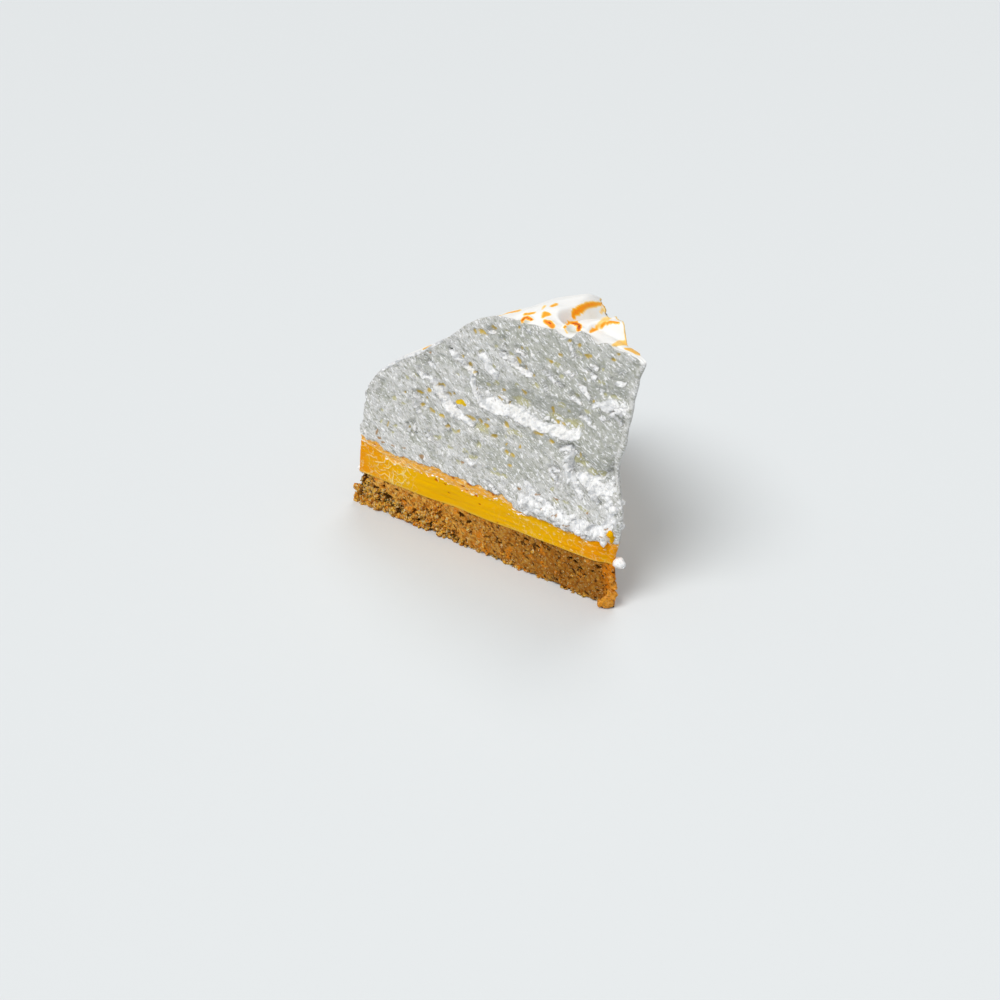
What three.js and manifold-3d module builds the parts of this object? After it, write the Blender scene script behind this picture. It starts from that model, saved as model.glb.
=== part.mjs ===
// A slice of lime pie, in millimetres, +Z up: a pressed crumb base, a layer of set lime filling and
// a tall dome of torched meringue with a swirl of petals on its crown.
// The point of the slice is towards +X and its rim towards -X. The cut faces stand on the -Y and
// +Y sides. The origin is under the middle of the whole, on the surface that the slice stands on.
import * as THREE from 'three';
import { mergeVertices } from 'three/addons/utils/BufferGeometryUtils.js';
import Module from 'manifold-3d';

const { clamp, degToRad, lerp, smoothstep } = THREE.MathUtils;

// The whole pie and the cut
const pieRadius = 116.5;
const sliceAngle = degToRad(45);
const bluntTip = 5.6;
const pieAxis = { x: 59.7, y: 0 };

// Heights of the layers
const crustAtRim = 13.2;
const crustAtTip = 16;
const fillingTop = 28.7;
const layerGap = 0.3;

// Dome of the meringue: a level crown, a slope down to the shoulder, and a rounded edge at the rim
const crownHeight = 89.5;
const crownRadius = 46;
const shoulderHeight = 50;
const shoulderRadius = 110;
const domeCurve = 1.2;

// Petals swirled into the crown, fanned out round a point on the front cut. Each petal falls gently
// from its crest and meets the steep side of the next.
const swirl = {
  centre: 28,
  firstCrest: degToRad(28),
  spacing: degToRad(50),
  steepShare: 0.3,
  depth: 5.2,
  sunk: 0.6,
  risesBy: 13,
  fadesFrom: 30,
  fadesBy: 46,
};
const knob = { height: 2.4, radius: 5 };
const waves = { height: 0.7, width: 14, across: 4 };

// Grid of each layer: along the slice, across it, and up the layer
const cells = {
  crust: [28, 10, 4],
  filling: [40, 16, 3],
  meringue: [40, 16, 22],
};
const crowdingAtTip = 1.2;
const crowdingAtFront = 1.15;

// Directions on plan, from the pie's axis
const frontAngle = Math.PI + sliceAngle / 2;
const frontNormal = new THREE.Vector3(-Math.sin(frontAngle), Math.cos(frontAngle), 0);
const backNormal = new THREE.Vector3(frontNormal.x, -frontNormal.y, 0);

// Crumbs that stand out of the sides of the base, uneven by roughness
const crumbCount = 33;
const crumbRadius = { smallest: 1.2, largest: 2.4 };
const crumbRoughness = 0.22;

// Reach of the rim and of the tip beyond their upright lines, as [height, reach]
const rimReach = profile([[0, 0], [13, -2.5], [28, -4.2], [31, -3.6], [36, -6.4], [49, -8.2]]);
const tipReach = profile([
  [0, 0], [10, -0.6], [17, -1.8], [26, 0.2], [34, 1], [49, -3.2], [62, 0.2], [74, 2.2], [88, 4.6],
]);

// Torn steps in the cut meringue: the face above the line between from and to is set back by step, and
// comes forward again over the height fadesOver. Points are [distance from the pie's axis, height].
const frontSteps = [
  { from: [61, 60], to: [20, 58], step: 3.4, fadesOver: 11 },
  { from: [81, 60], to: [67, 51.5], step: 2.6, fadesOver: 7 },
  { from: [71, 73], to: [62, 67], step: 1.3, fadesOver: 5 },
  { from: [51, 78], to: [38, 73], step: 1.4, fadesOver: 5 },
  { from: [15, 72], to: [5, 70], step: 1.8, fadesOver: 6 },
  { from: [24, 46], to: [3, 42], step: 3.2, fadesOver: 9 },
];
const backSteps = [
  { from: [34, 66], to: [72, 61], step: 3, fadesOver: 10 },
  { from: [58, 47], to: [92, 43], step: 2.2, fadesOver: 8 },
  { from: [14, 50], to: [44, 46], step: 2.6, fadesOver: 9 },
  { from: [10, 77], to: [30, 75], step: 1.6, fadesOver: 6 },
];

// Smeared lumps that stand out from the cut faces, as ellipses of half-sizes size
const frontLumps = [
  { at: [40, 26.5], size: [8, 4], height: 1.9 },
  { at: [29, 27], size: [7, 4], height: 1.5 },
  { at: [18, 26], size: [9, 4], height: 2.1 },
  { at: [20, 47], size: [3.5, 9], height: 1.8 },
  { at: [5, 34], size: [5, 6], height: 2.4 },
];
const backLumps = [
  { at: [24, 27], size: [10, 4], height: 1.6 },
  { at: [64, 29], size: [12, 4], height: 1.4 },
  { at: [88, 33], size: [7, 6], height: 1.7 },
];

// The meringue sags over the top edge of the filling at each cut face, as [distance, sag]
const frontSag = profile([[6, 1], [14, 4.6], [42, 5], [50, 1], [60, 0]]);
const backSag = profile([[6, 1], [20, 3.4], [30, 0.6], [56, 0.6], [66, 3], [76, 0]]);
const sagWidth = 8;

// Shape of every torn step: how softly it sets back, the level stretch above it, and the lip below it
const stepShape = { softness: 2, level: 3, lipBelow: 2.5, lipWidth: 2.2, lipShare: 0.35 };

// The relief of each side fades into the slice as a power of the share of the way from the other side
const fade = { rim: 6, tip: 5, cut: 4 };

// Roughness of the sides: how far crags stand out, and how wide they are
const crags = {
  crust: { height: 1.0, width: 3.6 },
  filling: { height: 0.25, width: 9 },
  meringue: { height: 0.75, width: 6.5 },
};

// A line through [position, value] pairs that eases in and out of each, and is level beyond its ends.
function profile(points) {
  return (position) => {
    const next = points.findIndex(([end]) => end >= position);
    if (next === 0) return points[0][1];
    if (next < 0) return points[points.length - 1][1];
    const [start, from] = points[next - 1];
    const [end, to] = points[next];
    return lerp(from, to, smoothstep(position, start, end));
  };
}

// A repeatable number from -1 to 1 for each cell of a grid.
function cellValue(column, row, seed) {
  const wave = Math.sin(column * 127.1 + row * 311.7 + seed * 74.7) * 43758.5453;
  return (wave - Math.floor(wave)) * 2 - 1;
}

// Rolling noise from -1 to 1: the values of the four nearest cells, blended.
function noise(x, y, seed) {
  const column = Math.floor(x);
  const row = Math.floor(y);
  const across = smoothstep(x - column, 0, 1);
  const up = smoothstep(y - row, 0, 1);
  const low = lerp(cellValue(column, row, seed), cellValue(column + 1, row, seed), across);
  const high = lerp(cellValue(column, row + 1, seed), cellValue(column + 1, row + 1, seed), across);
  return lerp(low, high, up);
}

// How far a point of a cut face stands out at one torn step: back above its line, and out at its lip.
function stepRelief({ from, to, step, fadesOver }, distance, height) {
  const { softness, level, lipBelow, lipWidth, lipShare } = stepShape;
  const along = [to[0] - from[0], to[1] - from[1]];
  const passed = (distance - from[0]) * along[0] + (height - from[1]) * along[1];
  const share = passed / Math.hypot(...along) ** 2;
  const above = height - lerp(from[1], to[1], clamp(share, 0, 1));
  const inside = smoothstep(share, -0.12, 0.08) * (1 - smoothstep(share, 0.92, 1.12));
  const fades = smoothstep(above, level, level + fadesOver);
  const setBack = smoothstep(above, -softness, softness) * (1 - fades);
  const lip = lipShare * Math.exp(-(((above + lipBelow) / lipWidth) ** 2));
  return inside * step * (lip - setBack);
}

// How far one smeared lump stands out at a point of a cut face.
function lumpHeight({ at, size, height }, distance, level) {
  const spread = ((distance - at[0]) / size[0]) ** 2 + ((level - at[1]) / size[1]) ** 2;
  return height * Math.exp(-1.4 * spread);
}

// Crags of the side at a given height: coarse in the base, faint in the filling, torn in the meringue.
function cragHeight(distance, height, crustTop, seed) {
  const { crust, filling, meringue } = crags;
  const inFilling = smoothstep(height, crustTop - 0.6, crustTop + 0.6);
  const inMeringue = smoothstep(height, fillingTop - 5, fillingTop + 1);
  const base = crust.height * noise(distance / crust.width, height / crust.width, seed);
  const middle = filling.height * noise(distance / filling.width, height / filling.width, seed + 1);
  const slanted = (distance + height) / meringue.width;
  const top = meringue.height * noise(slanted, height / meringue.width, seed + 2);
  return lerp(lerp(base, middle, inFilling), top, inMeringue);
}

// How far a cut face stands out from its plane.
function faceRelief(steps, lumps, distance, height, seed) {
  const torn = steps.reduce((sum, step) => sum + stepRelief(step, distance, height), 0);
  const smeared = lumps.reduce((sum, lump) => sum + lumpHeight(lump, distance, height), 0);
  return torn + smeared + cragHeight(distance, height, crustTop(distance), seed);
}

// Surfaces between the layers, by distance from the pie's axis and share of the way across the slice
function crustTop(distance) {
  return lerp(crustAtTip, crustAtRim, clamp(distance / pieRadius, 0, 1));
}

function fillingRoof(distance, across) {
  const width = distance * sliceAngle;
  const atFront = frontSag(distance) * Math.exp(-((across * width / sagWidth) ** 2));
  const atBack = backSag(distance) * Math.exp(-(((1 - across) * width / sagWidth) ** 2));
  return fillingTop - atFront - atBack;
}

// Height of the petals above the crown at a point on plan: crests fan out from the swirl's centre,
// where a small knob stands.
function petalHeight(x, y) {
  const fromCentre = [x - swirl.centre * Math.cos(frontAngle), y - swirl.centre * Math.sin(frontAngle)];
  const reach = Math.hypot(...fromCentre);
  const count = (Math.atan2(fromCentre[1], fromCentre[0]) - swirl.firstCrest) / swirl.spacing;
  const share = count - Math.floor(count);
  const falling = 1 - smoothstep(share, 0, 1 - swirl.steepShare);
  const rising = smoothstep(share, 1 - swirl.steepShare, 1);
  const beyond = smoothstep(reach, swirl.fadesFrom, swirl.fadesBy);
  const inSwirl = smoothstep(reach, 0, swirl.risesBy) * (1 - beyond);
  const onKnob = Math.exp(-((reach / knob.radius) ** 2));
  return inSwirl * swirl.depth * (falling + rising - swirl.sunk) + knob.height * onKnob;
}

function dome(distance, across) {
  const down = clamp((distance - crownRadius) / (shoulderRadius - crownRadius), 0, 1.1) ** domeCurve;
  const wave = waves.height * noise(distance / waves.width, across * waves.across, 5);
  const angle = frontAngle - across * sliceAngle;
  const petals = petalHeight(distance * Math.cos(angle), distance * Math.sin(angle));
  return lerp(crownHeight, shoulderHeight, down) + wave + petals;
}

// Puts a point of the unit block into the slice: along from the rim to the tip, across from the
// front cut to the back one, and up between the layer's two surfaces. The sides' relief fades inwards.
function intoSlice(point, floor, roof) {
  const along = point.x + 0.5;
  const across = (point.y + 0.5) ** crowdingAtFront;
  const distance = lerp(bluntTip, pieRadius, (1 - along) ** crowdingAtTip);
  const height = lerp(floor(distance, across), roof(distance, across), point.z + 0.5);
  const angle = frontAngle - across * sliceAngle;
  const rimRelief = rimReach(height) + cragHeight(across * pieRadius * sliceAngle, height, crustAtRim, 31);
  const frontRelief = faceRelief(frontSteps, frontLumps, distance, height, 11);
  const backRelief = faceRelief(backSteps, backLumps, distance, height, 21);
  const place = new THREE.Vector3(Math.cos(angle), Math.sin(angle), 0);
  place.multiplyScalar(distance + (1 - along) ** fade.rim * rimRelief);
  place.addScaledVector(frontNormal, (1 - across) ** fade.cut * frontRelief);
  place.addScaledVector(backNormal, across ** fade.cut * backRelief);
  place.x += along ** fade.tip * tipReach(height);
  place.z = height;
  return place;
}

// A copy of a shape's mesh with only positions left, so that its corners and edges are shared, and
// each of its points moved by place.
function shapedMesh(shape, place) {
  shape.deleteAttribute('normal');
  shape.deleteAttribute('uv');
  const geometry = mergeVertices(shape, 1e-4);
  const position = geometry.getAttribute('position');
  for (let i = 0; i < position.count; i++) {
    const point = new THREE.Vector3().fromBufferAttribute(position, i);
    position.setXYZ(i, ...place(point, i).toArray());
  }
  return geometry;
}

function layerGeometry(cellCounts, floor, roof) {
  const block = new THREE.BoxGeometry(1, 1, 1, ...cellCounts);
  return shapedMesh(block, (point) => intoSlice(point, floor, roof));
}

// Between three.js geometry and a solid that can be joined
const wasm = await Module();
wasm.setup();

function toSolid(geometry) {
  const vertProperties = Float32Array.from(geometry.getAttribute('position').array);
  const triVerts = Uint32Array.from(geometry.index.array);
  return new wasm.Manifold(new wasm.Mesh({ numProp: 3, vertProperties, triVerts }));
}

function toGeometry(solid) {
  const { vertProperties, triVerts } = solid.getMesh();
  const geometry = new THREE.BufferGeometry();
  geometry.setAttribute('position', new THREE.BufferAttribute(vertProperties, 3));
  return geometry.setIndex(new THREE.BufferAttribute(triVerts, 1));
}

// One crumb: an uneven lump with twelve corners, flat where it meets the ground.
function crumbSolid(centre, radius, seed) {
  const lump = new THREE.IcosahedronGeometry(radius, 0);
  return toSolid(shapedMesh(lump, (corner, i) => {
    corner.multiplyScalar(1 + crumbRoughness * cellValue(i, seed, 3)).add(centre);
    return corner.setZ(Math.max(corner.z, 0));
  }));
}

// The base with crumbs standing out of its rim and its cut faces in turn, more of them near the foot.
function crustGeometry() {
  let crust = toSolid(layerGeometry(cells.crust, () => 0, crustTop));
  for (let i = 0; i < crumbCount; i++) {
    const chance = [0, 1, 2].map((draw) => 0.5 + 0.5 * cellValue(i, draw, 8));
    const share = (i + 0.1 + 0.8 * chance[0]) / crumbCount - 0.5;
    const radius = lerp(crumbRadius.smallest, crumbRadius.largest, chance[1]);
    const height = lerp(radius * 0.9, crustAtRim - radius * 1.7, chance[2] ** 2);
    const sides = [[-share, 0.5], [-share, -0.5], [-0.5, share]];
    const centre = intoSlice(new THREE.Vector3(...sides[i % 3], 0), () => height, () => height);
    crust = crust.add(crumbSolid(centre, radius, i));
  }
  return toGeometry(crust);
}

const materials = {
  crust: { color: 0xa06a34, roughness: 0.9, metalness: 0 },
  filling: { color: 0xe0a418, roughness: 0.35, metalness: 0 },
  meringue: { color: 0xf3f1ea, roughness: 0.7, metalness: 0 },
};

function namedMesh(name, geometry, material) {
  const faceted = geometry.toNonIndexed();
  faceted.computeVertexNormals();
  const mesh = new THREE.Mesh(faceted, new THREE.MeshStandardMaterial(material));
  mesh.name = name;
  return mesh;
}

const fillingFloor = (distance) => crustTop(distance) + layerGap;
const meringueFloor = (distance, across) => fillingRoof(distance, across) + layerGap;

const slice = new THREE.Group();
slice.add(
  namedMesh('crumb_base', crustGeometry(), materials.crust),
  namedMesh('lime_filling', layerGeometry(cells.filling, fillingFloor, fillingRoof), materials.filling),
  namedMesh('meringue', layerGeometry(cells.meringue, meringueFloor, dome), materials.meringue),
);
slice.position.set(pieAxis.x, pieAxis.y, 0);

export default slice;
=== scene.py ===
import math

import bpy
import numpy as np
from mathutils import Euler, Matrix, Vector


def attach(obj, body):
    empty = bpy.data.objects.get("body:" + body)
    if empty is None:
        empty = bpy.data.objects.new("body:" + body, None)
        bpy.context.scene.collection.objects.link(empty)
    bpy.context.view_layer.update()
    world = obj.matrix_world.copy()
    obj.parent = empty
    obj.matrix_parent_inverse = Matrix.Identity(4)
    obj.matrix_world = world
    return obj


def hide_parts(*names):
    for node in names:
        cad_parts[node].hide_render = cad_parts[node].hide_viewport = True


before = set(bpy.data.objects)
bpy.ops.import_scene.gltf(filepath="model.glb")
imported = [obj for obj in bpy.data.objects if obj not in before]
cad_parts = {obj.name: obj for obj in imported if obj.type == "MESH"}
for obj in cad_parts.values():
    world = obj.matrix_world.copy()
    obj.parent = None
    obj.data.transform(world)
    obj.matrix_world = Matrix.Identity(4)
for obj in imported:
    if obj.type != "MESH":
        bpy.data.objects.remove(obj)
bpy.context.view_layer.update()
print("stage: frame loaded")

# Lengths are in millimetres, heights above the ground, distances outwards from the axis of the
# whole pie. Angles are in degrees. They become metres when a mesh, lamp or camera is made.
metresPerMillimetre = 0.001

pie = {
    "radius": 116.5,
    "sliceAngle": 45.0,
    "bluntTip": 5.6,
    "axisX": 59.7,
    "crustAtRim": 13.2,
    "crustAtTip": 16.0,
    "fillingTop": 28.7,
    "seam": 0.05,  # hair-thin gap between one layer and the next
    "crowding": 1.1,  # a power by which mesh points crowd towards the tip and the front cut
}
frontAngle = math.radians(180 + pie["sliceAngle"] / 2)
sliceAngle = math.radians(pie["sliceAngle"])
frontNormal = np.array([-math.sin(frontAngle), math.cos(frontAngle), 0.0])
backNormal = frontNormal * [1, -1, 1]

# Where the photo was taken from: the camera stands there, and the browning is laid on from there.
view = {
    "place": (311.1, -197.0, 229.0),
    "azimuth": 59.06,
    "elevation": 30.55,
    "roll": 0.90,
    "lens": 43.2,
    "sensor": 36,
}


# Helpers for whole arrays of numbers

def lerp(low, high, share):
    return low + (high - low) * share


def ease(value, start, end):  # 0 before start, 1 after end, smooth between
    share = np.clip((value - start) / (end - start), 0, 1)
    return share * share * (3 - 2 * share)


def hill(value, centre, width):  # a bell of height 1
    return np.exp(-(((value - centre) / width) ** 2))


# A line through [position, value] pairs that eases in and out of each.
def easedLine(points, position):
    result = np.full(np.shape(position), float(points[0][1]))
    for (start, low), (end, high) in zip(points, points[1:]):
        result = np.where(position > start, lerp(low, high, ease(position, start, end)), result)
    return result


# A line through [position, value] pairs that runs straight between them.
def straightLine(points, position):
    return np.interp(position, *np.array(points).T)


# Points for noise from two coordinates and a third, which is an array or one number.
def spotsAt(first, second, third=0.0):
    return np.stack([first, second, np.full_like(first, third)], axis=1)


# A repeatable number from 0 to 1 for each corner of a lattice, mixed from its whole coordinates.
def latticeValue(column, row, layer, seed):
    mixed = (column * 374761393 + row * 668265263 + layer * 1442695041 + seed * 974634777) & 0xFFFFFFFF
    mixed = ((mixed ^ (mixed >> 13)) * 1274126177) & 0xFFFFFFFF
    return ((mixed ^ (mixed >> 16)) & 0xFFFFFF) / 0xFFFFFF


# Rolling noise from -1 to 1: lattice values at the eight corners of the cell round each point,
# blended by the eased distance to them. size is the width of a cell, one number or three.
def rollingNoise(points, size, seed):
    scaled = points / size
    corner = np.floor(scaled).astype(np.int64)
    inside = scaled - corner
    inside = inside * inside * (3 - 2 * inside)
    total = 0
    for step in np.ndindex(2, 2, 2):
        weight = np.prod(np.where(step, inside, 1 - inside), axis=1)
        total = total + weight * latticeValue(*(corner + step).T, seed)
    return total * 2 - 1


# Noise summed over octaves, each half as wide and a chosen share as high as the last.
def rollingOctaves(points, size, seed, octaves=3, share=0.5):
    total = 0
    for octave in range(octaves):
        total = total + share ** octave * rollingNoise(points, np.array(size) / 2 ** octave, seed + octave)
    return total


# Ragged cells: distance to the nearest and next nearest of one scattered seed point in each
# lattice cell, as shares of a cell, and a random number that belongs to the nearest.
def scatteredCells(points, size, seed):
    scaled = points / size
    corner = np.floor(scaled).astype(np.int64)
    nearest = np.full(len(points), 9.0)
    second = np.full(len(points), 9.0)
    owner = np.zeros(len(points))
    for step in np.ndindex(3, 3, 3):
        cell = corner + step - 1
        centre = cell + np.stack([latticeValue(*cell.T, seed + axis) for axis in range(3)], axis=1)
        away = np.linalg.norm(scaled - centre, axis=1)
        closer = away < nearest
        second = np.where(closer, nearest, np.minimum(second, away))
        nearest = np.where(closer, away, nearest)
        owner = np.where(closer, latticeValue(*cell.T, seed + 3), owner)
    return nearest, second, owner


# Making meshes

# A closed block of cells as lattice shares along, across and up, with the quads of its six sides
# facing outwards. Along runs from rim to tip, across from the front cut to the back one.
def closedBlock(cells):
    onSurface = np.zeros([count + 1 for count in cells], bool)
    onSurface[[0, -1]] = onSurface[:, [0, -1]] = onSurface[:, :, [0, -1]] = True
    number = np.zeros(onSurface.shape, np.int64)
    number[onSurface] = np.arange(onSurface.sum())
    shares = np.stack(np.nonzero(onSurface), axis=1) / np.array(cells)
    sides = [
        (number[0], True), (number[-1], False), (number[:, 0], False),
        (number[:, -1], True), (number[:, :, 0], True), (number[:, :, -1], False),
    ]
    quads = []
    for side, turned in sides:
        quad = np.stack([side[:-1, :-1], side[1:, :-1], side[1:, 1:], side[:-1, 1:]], axis=-1).reshape(-1, 4)
        quads.append(quad[:, ::-1] if turned else quad)
    return shares, np.concatenate(quads)


# A mesh object from points in millimetres and faces that all have the same number of corners,
# with one number for each point under each name in marks.
def meshObject(name, points, faces, marks=None, smooth=True):
    mesh = bpy.data.meshes.new(name)
    corners = faces.shape[1]
    mesh.vertices.add(len(points))
    mesh.vertices.foreach_set("co", (points * metresPerMillimetre).astype(np.float32).ravel())
    mesh.loops.add(faces.size)
    mesh.loops.foreach_set("vertex_index", faces.astype(np.int32).ravel())
    mesh.polygons.add(len(faces))
    mesh.polygons.foreach_set("loop_start", np.arange(0, faces.size, corners, dtype=np.int32))
    mesh.update(calc_edges=True)
    mesh.polygons.foreach_set("use_smooth", np.full(len(faces), smooth))
    for mark, values in (marks or {}).items():
        layer = mesh.attributes.new(mark, "FLOAT", "POINT")
        layer.data.foreach_set("value", values.astype(np.float32))
    thing = bpy.data.objects.new(name, mesh)
    bpy.context.scene.collection.objects.link(thing)
    return thing


def dress(thing, material, nodeName):
    thing.data.materials.append(material)
    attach(thing, "root")
    if nodeName:
        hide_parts(nodeName)


# Shape of the whole slice

# The swirl's crests fan out from its centre on the front cut. Their angles are far out; nearer in
# they twist on, most of all where reach is twistAt.
# heights holds [petal count, height above the dome] from one crest to the next, and rises holds
# [petal count, reach from which the petals there rise].
swirl = {
    "centre": 28.0,
    "crests": [-25, 25, 74, 124, 172, 222],
    "twist": 22.0,
    "twistAt": 12.0,
    "twistWidths": [4.5, 6.0],
    "rises": [[-1, 11], [0.8, 11], [0.9, 4], [1.8, 6], [2.2, 7], [2.6, 4], [4, 2]],
    "riseLength": 11.0,
    "fadesFrom": 40.0,
    "fadesBy": 58.0,
    "heights": [
        [-1, 1.2], [-0.1, 1.0], [0, 1.9], [0.72, -3.3], [1, 2.0], [1.5, 0.1], [1.82, -3.7], [2.17, 2.6],
        [2.5, 2.4], [2.9, 1.7], [3, 2.0], [3.5, 1.0], [4, 0.4],
    ],
}
# Height of the crown, slope and shoulder by distance, and of the crown's edge along the front cut.
domeShape = {
    "profile": [
        [5.6, 87.2], [8, 88.2], [13, 89.2], [20, 89.5], [46, 89.5], [50, 88.1], [55, 85.8], [60, 83.1],
        [65, 80.4], [70, 77.4], [76, 73.8], [80, 71.6], [84, 69.6], [89.5, 67.2], [93.6, 65.4],
        [97.8, 62.8], [101.2, 60.9], [104.4, 58.8], [107.3, 56.4], [110.4, 53.4], [113.4, 50.4],
        [116.5, 47],
    ],
    "brim": [
        [5.6, 89.2], [6.2, 90], [7.2, 90.4], [8.4, 90.9], [11.5, 90.8], [12.4, 91.8], [13, 92],
        [14.5, 91.4], [15.9, 90.6], [17, 90.8], [17.9, 91.7], [18.8, 92.5], [20.4, 93], [21.6, 93],
        [22.8, 91.9], [23.7, 90.6], [24.6, 89.6], [26.2, 89.5], [28.4, 90.1], [30.7, 90.8], [35, 90.2],
        [39, 90], [43.5, 90.2], [47, 90.1], [52, 89.8], [59, 87], [67, 81.8], [75, 76.2],
    ],
    "brimWidth": 3.0,
    "brimFades": [64, 74],
    "waves": 0.5,
    "waveSize": [11, 20, 9],
}
# Remains of piped curls, arches that stand open towards the front cut: [distance, way in, radius,
# height, fill], where fill is the height of the mound inside as a share of the arch's.
curls = [[27.9, 5.2, 2.5, 1.5, -0.3], [41.6, 1.2, 1.6, 0.9, -0.3], [35.0, 3.6, 1.6, 0.4, 0.9]]
curlsFace = [-0.858, 0.514]  # away from the camera in plan, where an arch is highest
# How far the rim reaches out and the tip reaches forward, by height.
rimReach = [[0, 0], [13, -2.5], [28, -4.2], [31, -3.6], [36, -6.4], [49, -8.2]]
tipReach = [
    [0, 0], [10, -0.6], [17, -1.8], [26, 0.2], [34, 1], [49, -3.2], [62, 0.2], [74, 2.2], [82, 3.8],
    [89, 6.2],
]
# How far the filling's roof sags next to each cut, by distance, and how ragged it is there.
sag = {
    "front": [
        [6, 3.6], [14, 5], [30, 4.9], [36.7, 6], [41, 5.2], [46, 3], [52, 1.8], [66, 1.6], [78, 2.1],
        [92, 2.4], [103, 1.8], [112, 0.5],
    ],
    "back": [[6, 1], [20, 3.4], [30, 0.6], [56, 0.6], [66, 3], [76, 0]],
    "width": 8.0,
    "ragged": 0.75,
    "raggedSize": 4.5,
    "raggedFrom": [8, 16],
}
tipRounding = {"narrower": 1.5, "narrowUpTo": [4, 11.0], "bulge": 1.9, "bulgeUpTo": [5, 9]}
# Relief on a cut fades by e over depth, and by a power of the share across. Powers of the share
# along hold the rim's and the tip's reach to the rim and the tip.
fading = {"depth": 6, "cutPower": 4, "rimPower": 6, "tipPower": 10}


# The base slopes down evenly from the tip to the rim.
def crustTop(distance):
    return lerp(pie["crustAtTip"], pie["crustAtRim"], np.clip(distance / pie["radius"], 0, 1))


# The filling is level, less a bell-shaped sag at each cut face, with a ragged edge there.
def fillingRoof(distance, across):
    width = distance * sliceAngle
    atFront = hill(across * width, 0, sag["width"])
    atBack = hill((1 - across) * width, 0, sag["width"])
    drop = easedLine(sag["front"], distance) * atFront + easedLine(sag["back"], distance) * atBack
    ragged = sag["ragged"] * rollingOctaves(spotsAt(distance, across * 40), sag["raggedSize"], 61)
    ragged = ragged * (atFront + atBack)
    return pie["fillingTop"] - drop + ragged * ease(distance, *sag["raggedFrom"])


# Where points of the crown lie in plan, seen from the swirl's centre.
def fromSwirl(distance, across):
    angle = frontAngle - across * sliceAngle
    outX = distance * np.cos(angle) - swirl["centre"] * math.cos(frontAngle)
    outY = distance * np.sin(angle) - swirl["centre"] * math.sin(frontAngle)
    return outX, outY


# How far out of the swirl's centre points are, and how many crests their angle has passed.
def petalPlace(distance, across):
    outX, outY = fromSwirl(distance, across)
    reach = np.hypot(outX, outY)
    angle = np.degrees(np.arctan2(outY, outX))
    angle = np.where(angle < -90, angle + 360, angle)
    width = np.where(reach < swirl["twistAt"], *swirl["twistWidths"])
    twisted = angle - swirl["twist"] * hill(reach, swirl["twistAt"], width)
    return reach, np.interp(twisted, swirl["crests"], np.arange(-1, 5))


# Petals: the count sets their height, which fades near the swirl's centre and far out.
def petalHeight(distance, across):
    reach, count = petalPlace(distance, across)
    risesFrom = straightLine(swirl["rises"], count)
    inSwirl = ease(reach, risesFrom, risesFrom + swirl["riseLength"])
    inSwirl = inSwirl * (1 - ease(reach, swirl["fadesFrom"], swirl["fadesBy"]))
    return inSwirl * easedLine(swirl["heights"], count)


# An arch is a ridge round its centre, highest on the far side, over a low mound or hollow. The
# second result says how much of a hollow each point is, which is painted in shade.
def curlHeight(distance, across):
    outX, outY = fromSwirl(distance, across)
    height = 0
    hollows = 0
    for at, wayIn, radius, archHeight, fill in curls:
        centreX, centreY = fromSwirl(at, wayIn / (at * sliceAngle))
        offX, offY = outX - centreX, outY - centreY
        away = np.hypot(offX, offY)
        farSide = (offX * curlsFace[0] + offY * curlsFace[1]) / np.maximum(away, 0.2)
        ridge = hill(away, radius, radius * 0.4) * ease(farSide, -0.4, 0.5)
        inside = hill(away, 0, radius * 0.75)
        height = height + archHeight * (ridge + fill * inside)
        hollows = np.maximum(hollows, inside * (fill < 0))
    return height, hollows


# Crown, slope and shoulder of the meringue, with faint waves and petals. It blends into the line
# of the brim at the front cut, and the curls stand on top.
def domeHeight(distance, across):
    waves = domeShape["waves"] * rollingOctaves(spotsAt(distance, across * 56), domeShape["waveSize"], 5, 2)
    height = straightLine(domeShape["profile"], distance) + waves + petalHeight(distance, across)
    atCut = hill(across * distance * sliceAngle, 0, domeShape["brimWidth"])
    atCut = atCut * (1 - ease(distance, *domeShape["brimFades"]))
    height = lerp(height, straightLine(domeShape["brim"], distance), atCut)
    return height + curlHeight(distance, across)[0]


# Puts block shares into the slice. reliefs holds the front, back and rim side's relief, each a
# function of distance or run, and of height. It moves points outwards and fades into the slice. The
# tip is rounded: both cut faces draw in towards it and its middle swells.
def intoSlice(shares, floor, roof, reliefs, crowding=pie["crowding"]):
    along = shares[:, 0]
    across = shares[:, 1] ** crowding
    distance = lerp(pie["bluntTip"], pie["radius"], (1 - along) ** crowding)
    height = lerp(floor(distance, across), roof(distance, across), shares[:, 2])
    angle = frontAngle - across * sliceAngle
    frontRelief, backRelief, rimRelief = reliefs
    rim = easedLine(rimReach, height) + rimRelief(across * pie["radius"] * sliceAngle, height)
    reach = distance + (1 - along) ** fading["rimPower"] * rim
    points = np.stack([reach * np.cos(angle), reach * np.sin(angle), height], axis=1)
    drawnIn = tipRounding["narrower"] * (1 - ease(distance, *tipRounding["narrowUpTo"]))
    for normal, nearness, inwards, relief in (
        (frontNormal, 1 - across, across, frontRelief), (backNormal, across, 1 - across, backRelief),
    ):
        moved = np.exp(-inwards * distance * sliceAngle / fading["depth"]) * relief(distance, height)
        points += normal * (nearness ** fading["cutPower"] * (moved - drawnIn))[:, None]
    bulge = tipRounding["bulge"] * 4 * across * (1 - across) * (1 - ease(distance, *tipRounding["bulgeUpTo"]))
    points[:, 0] += pie["axisX"] + along ** fading["tipPower"] * easedLine(tipReach, height) + bulge
    return {"points": points, "distance": distance, "across": across, "height": height}
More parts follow.
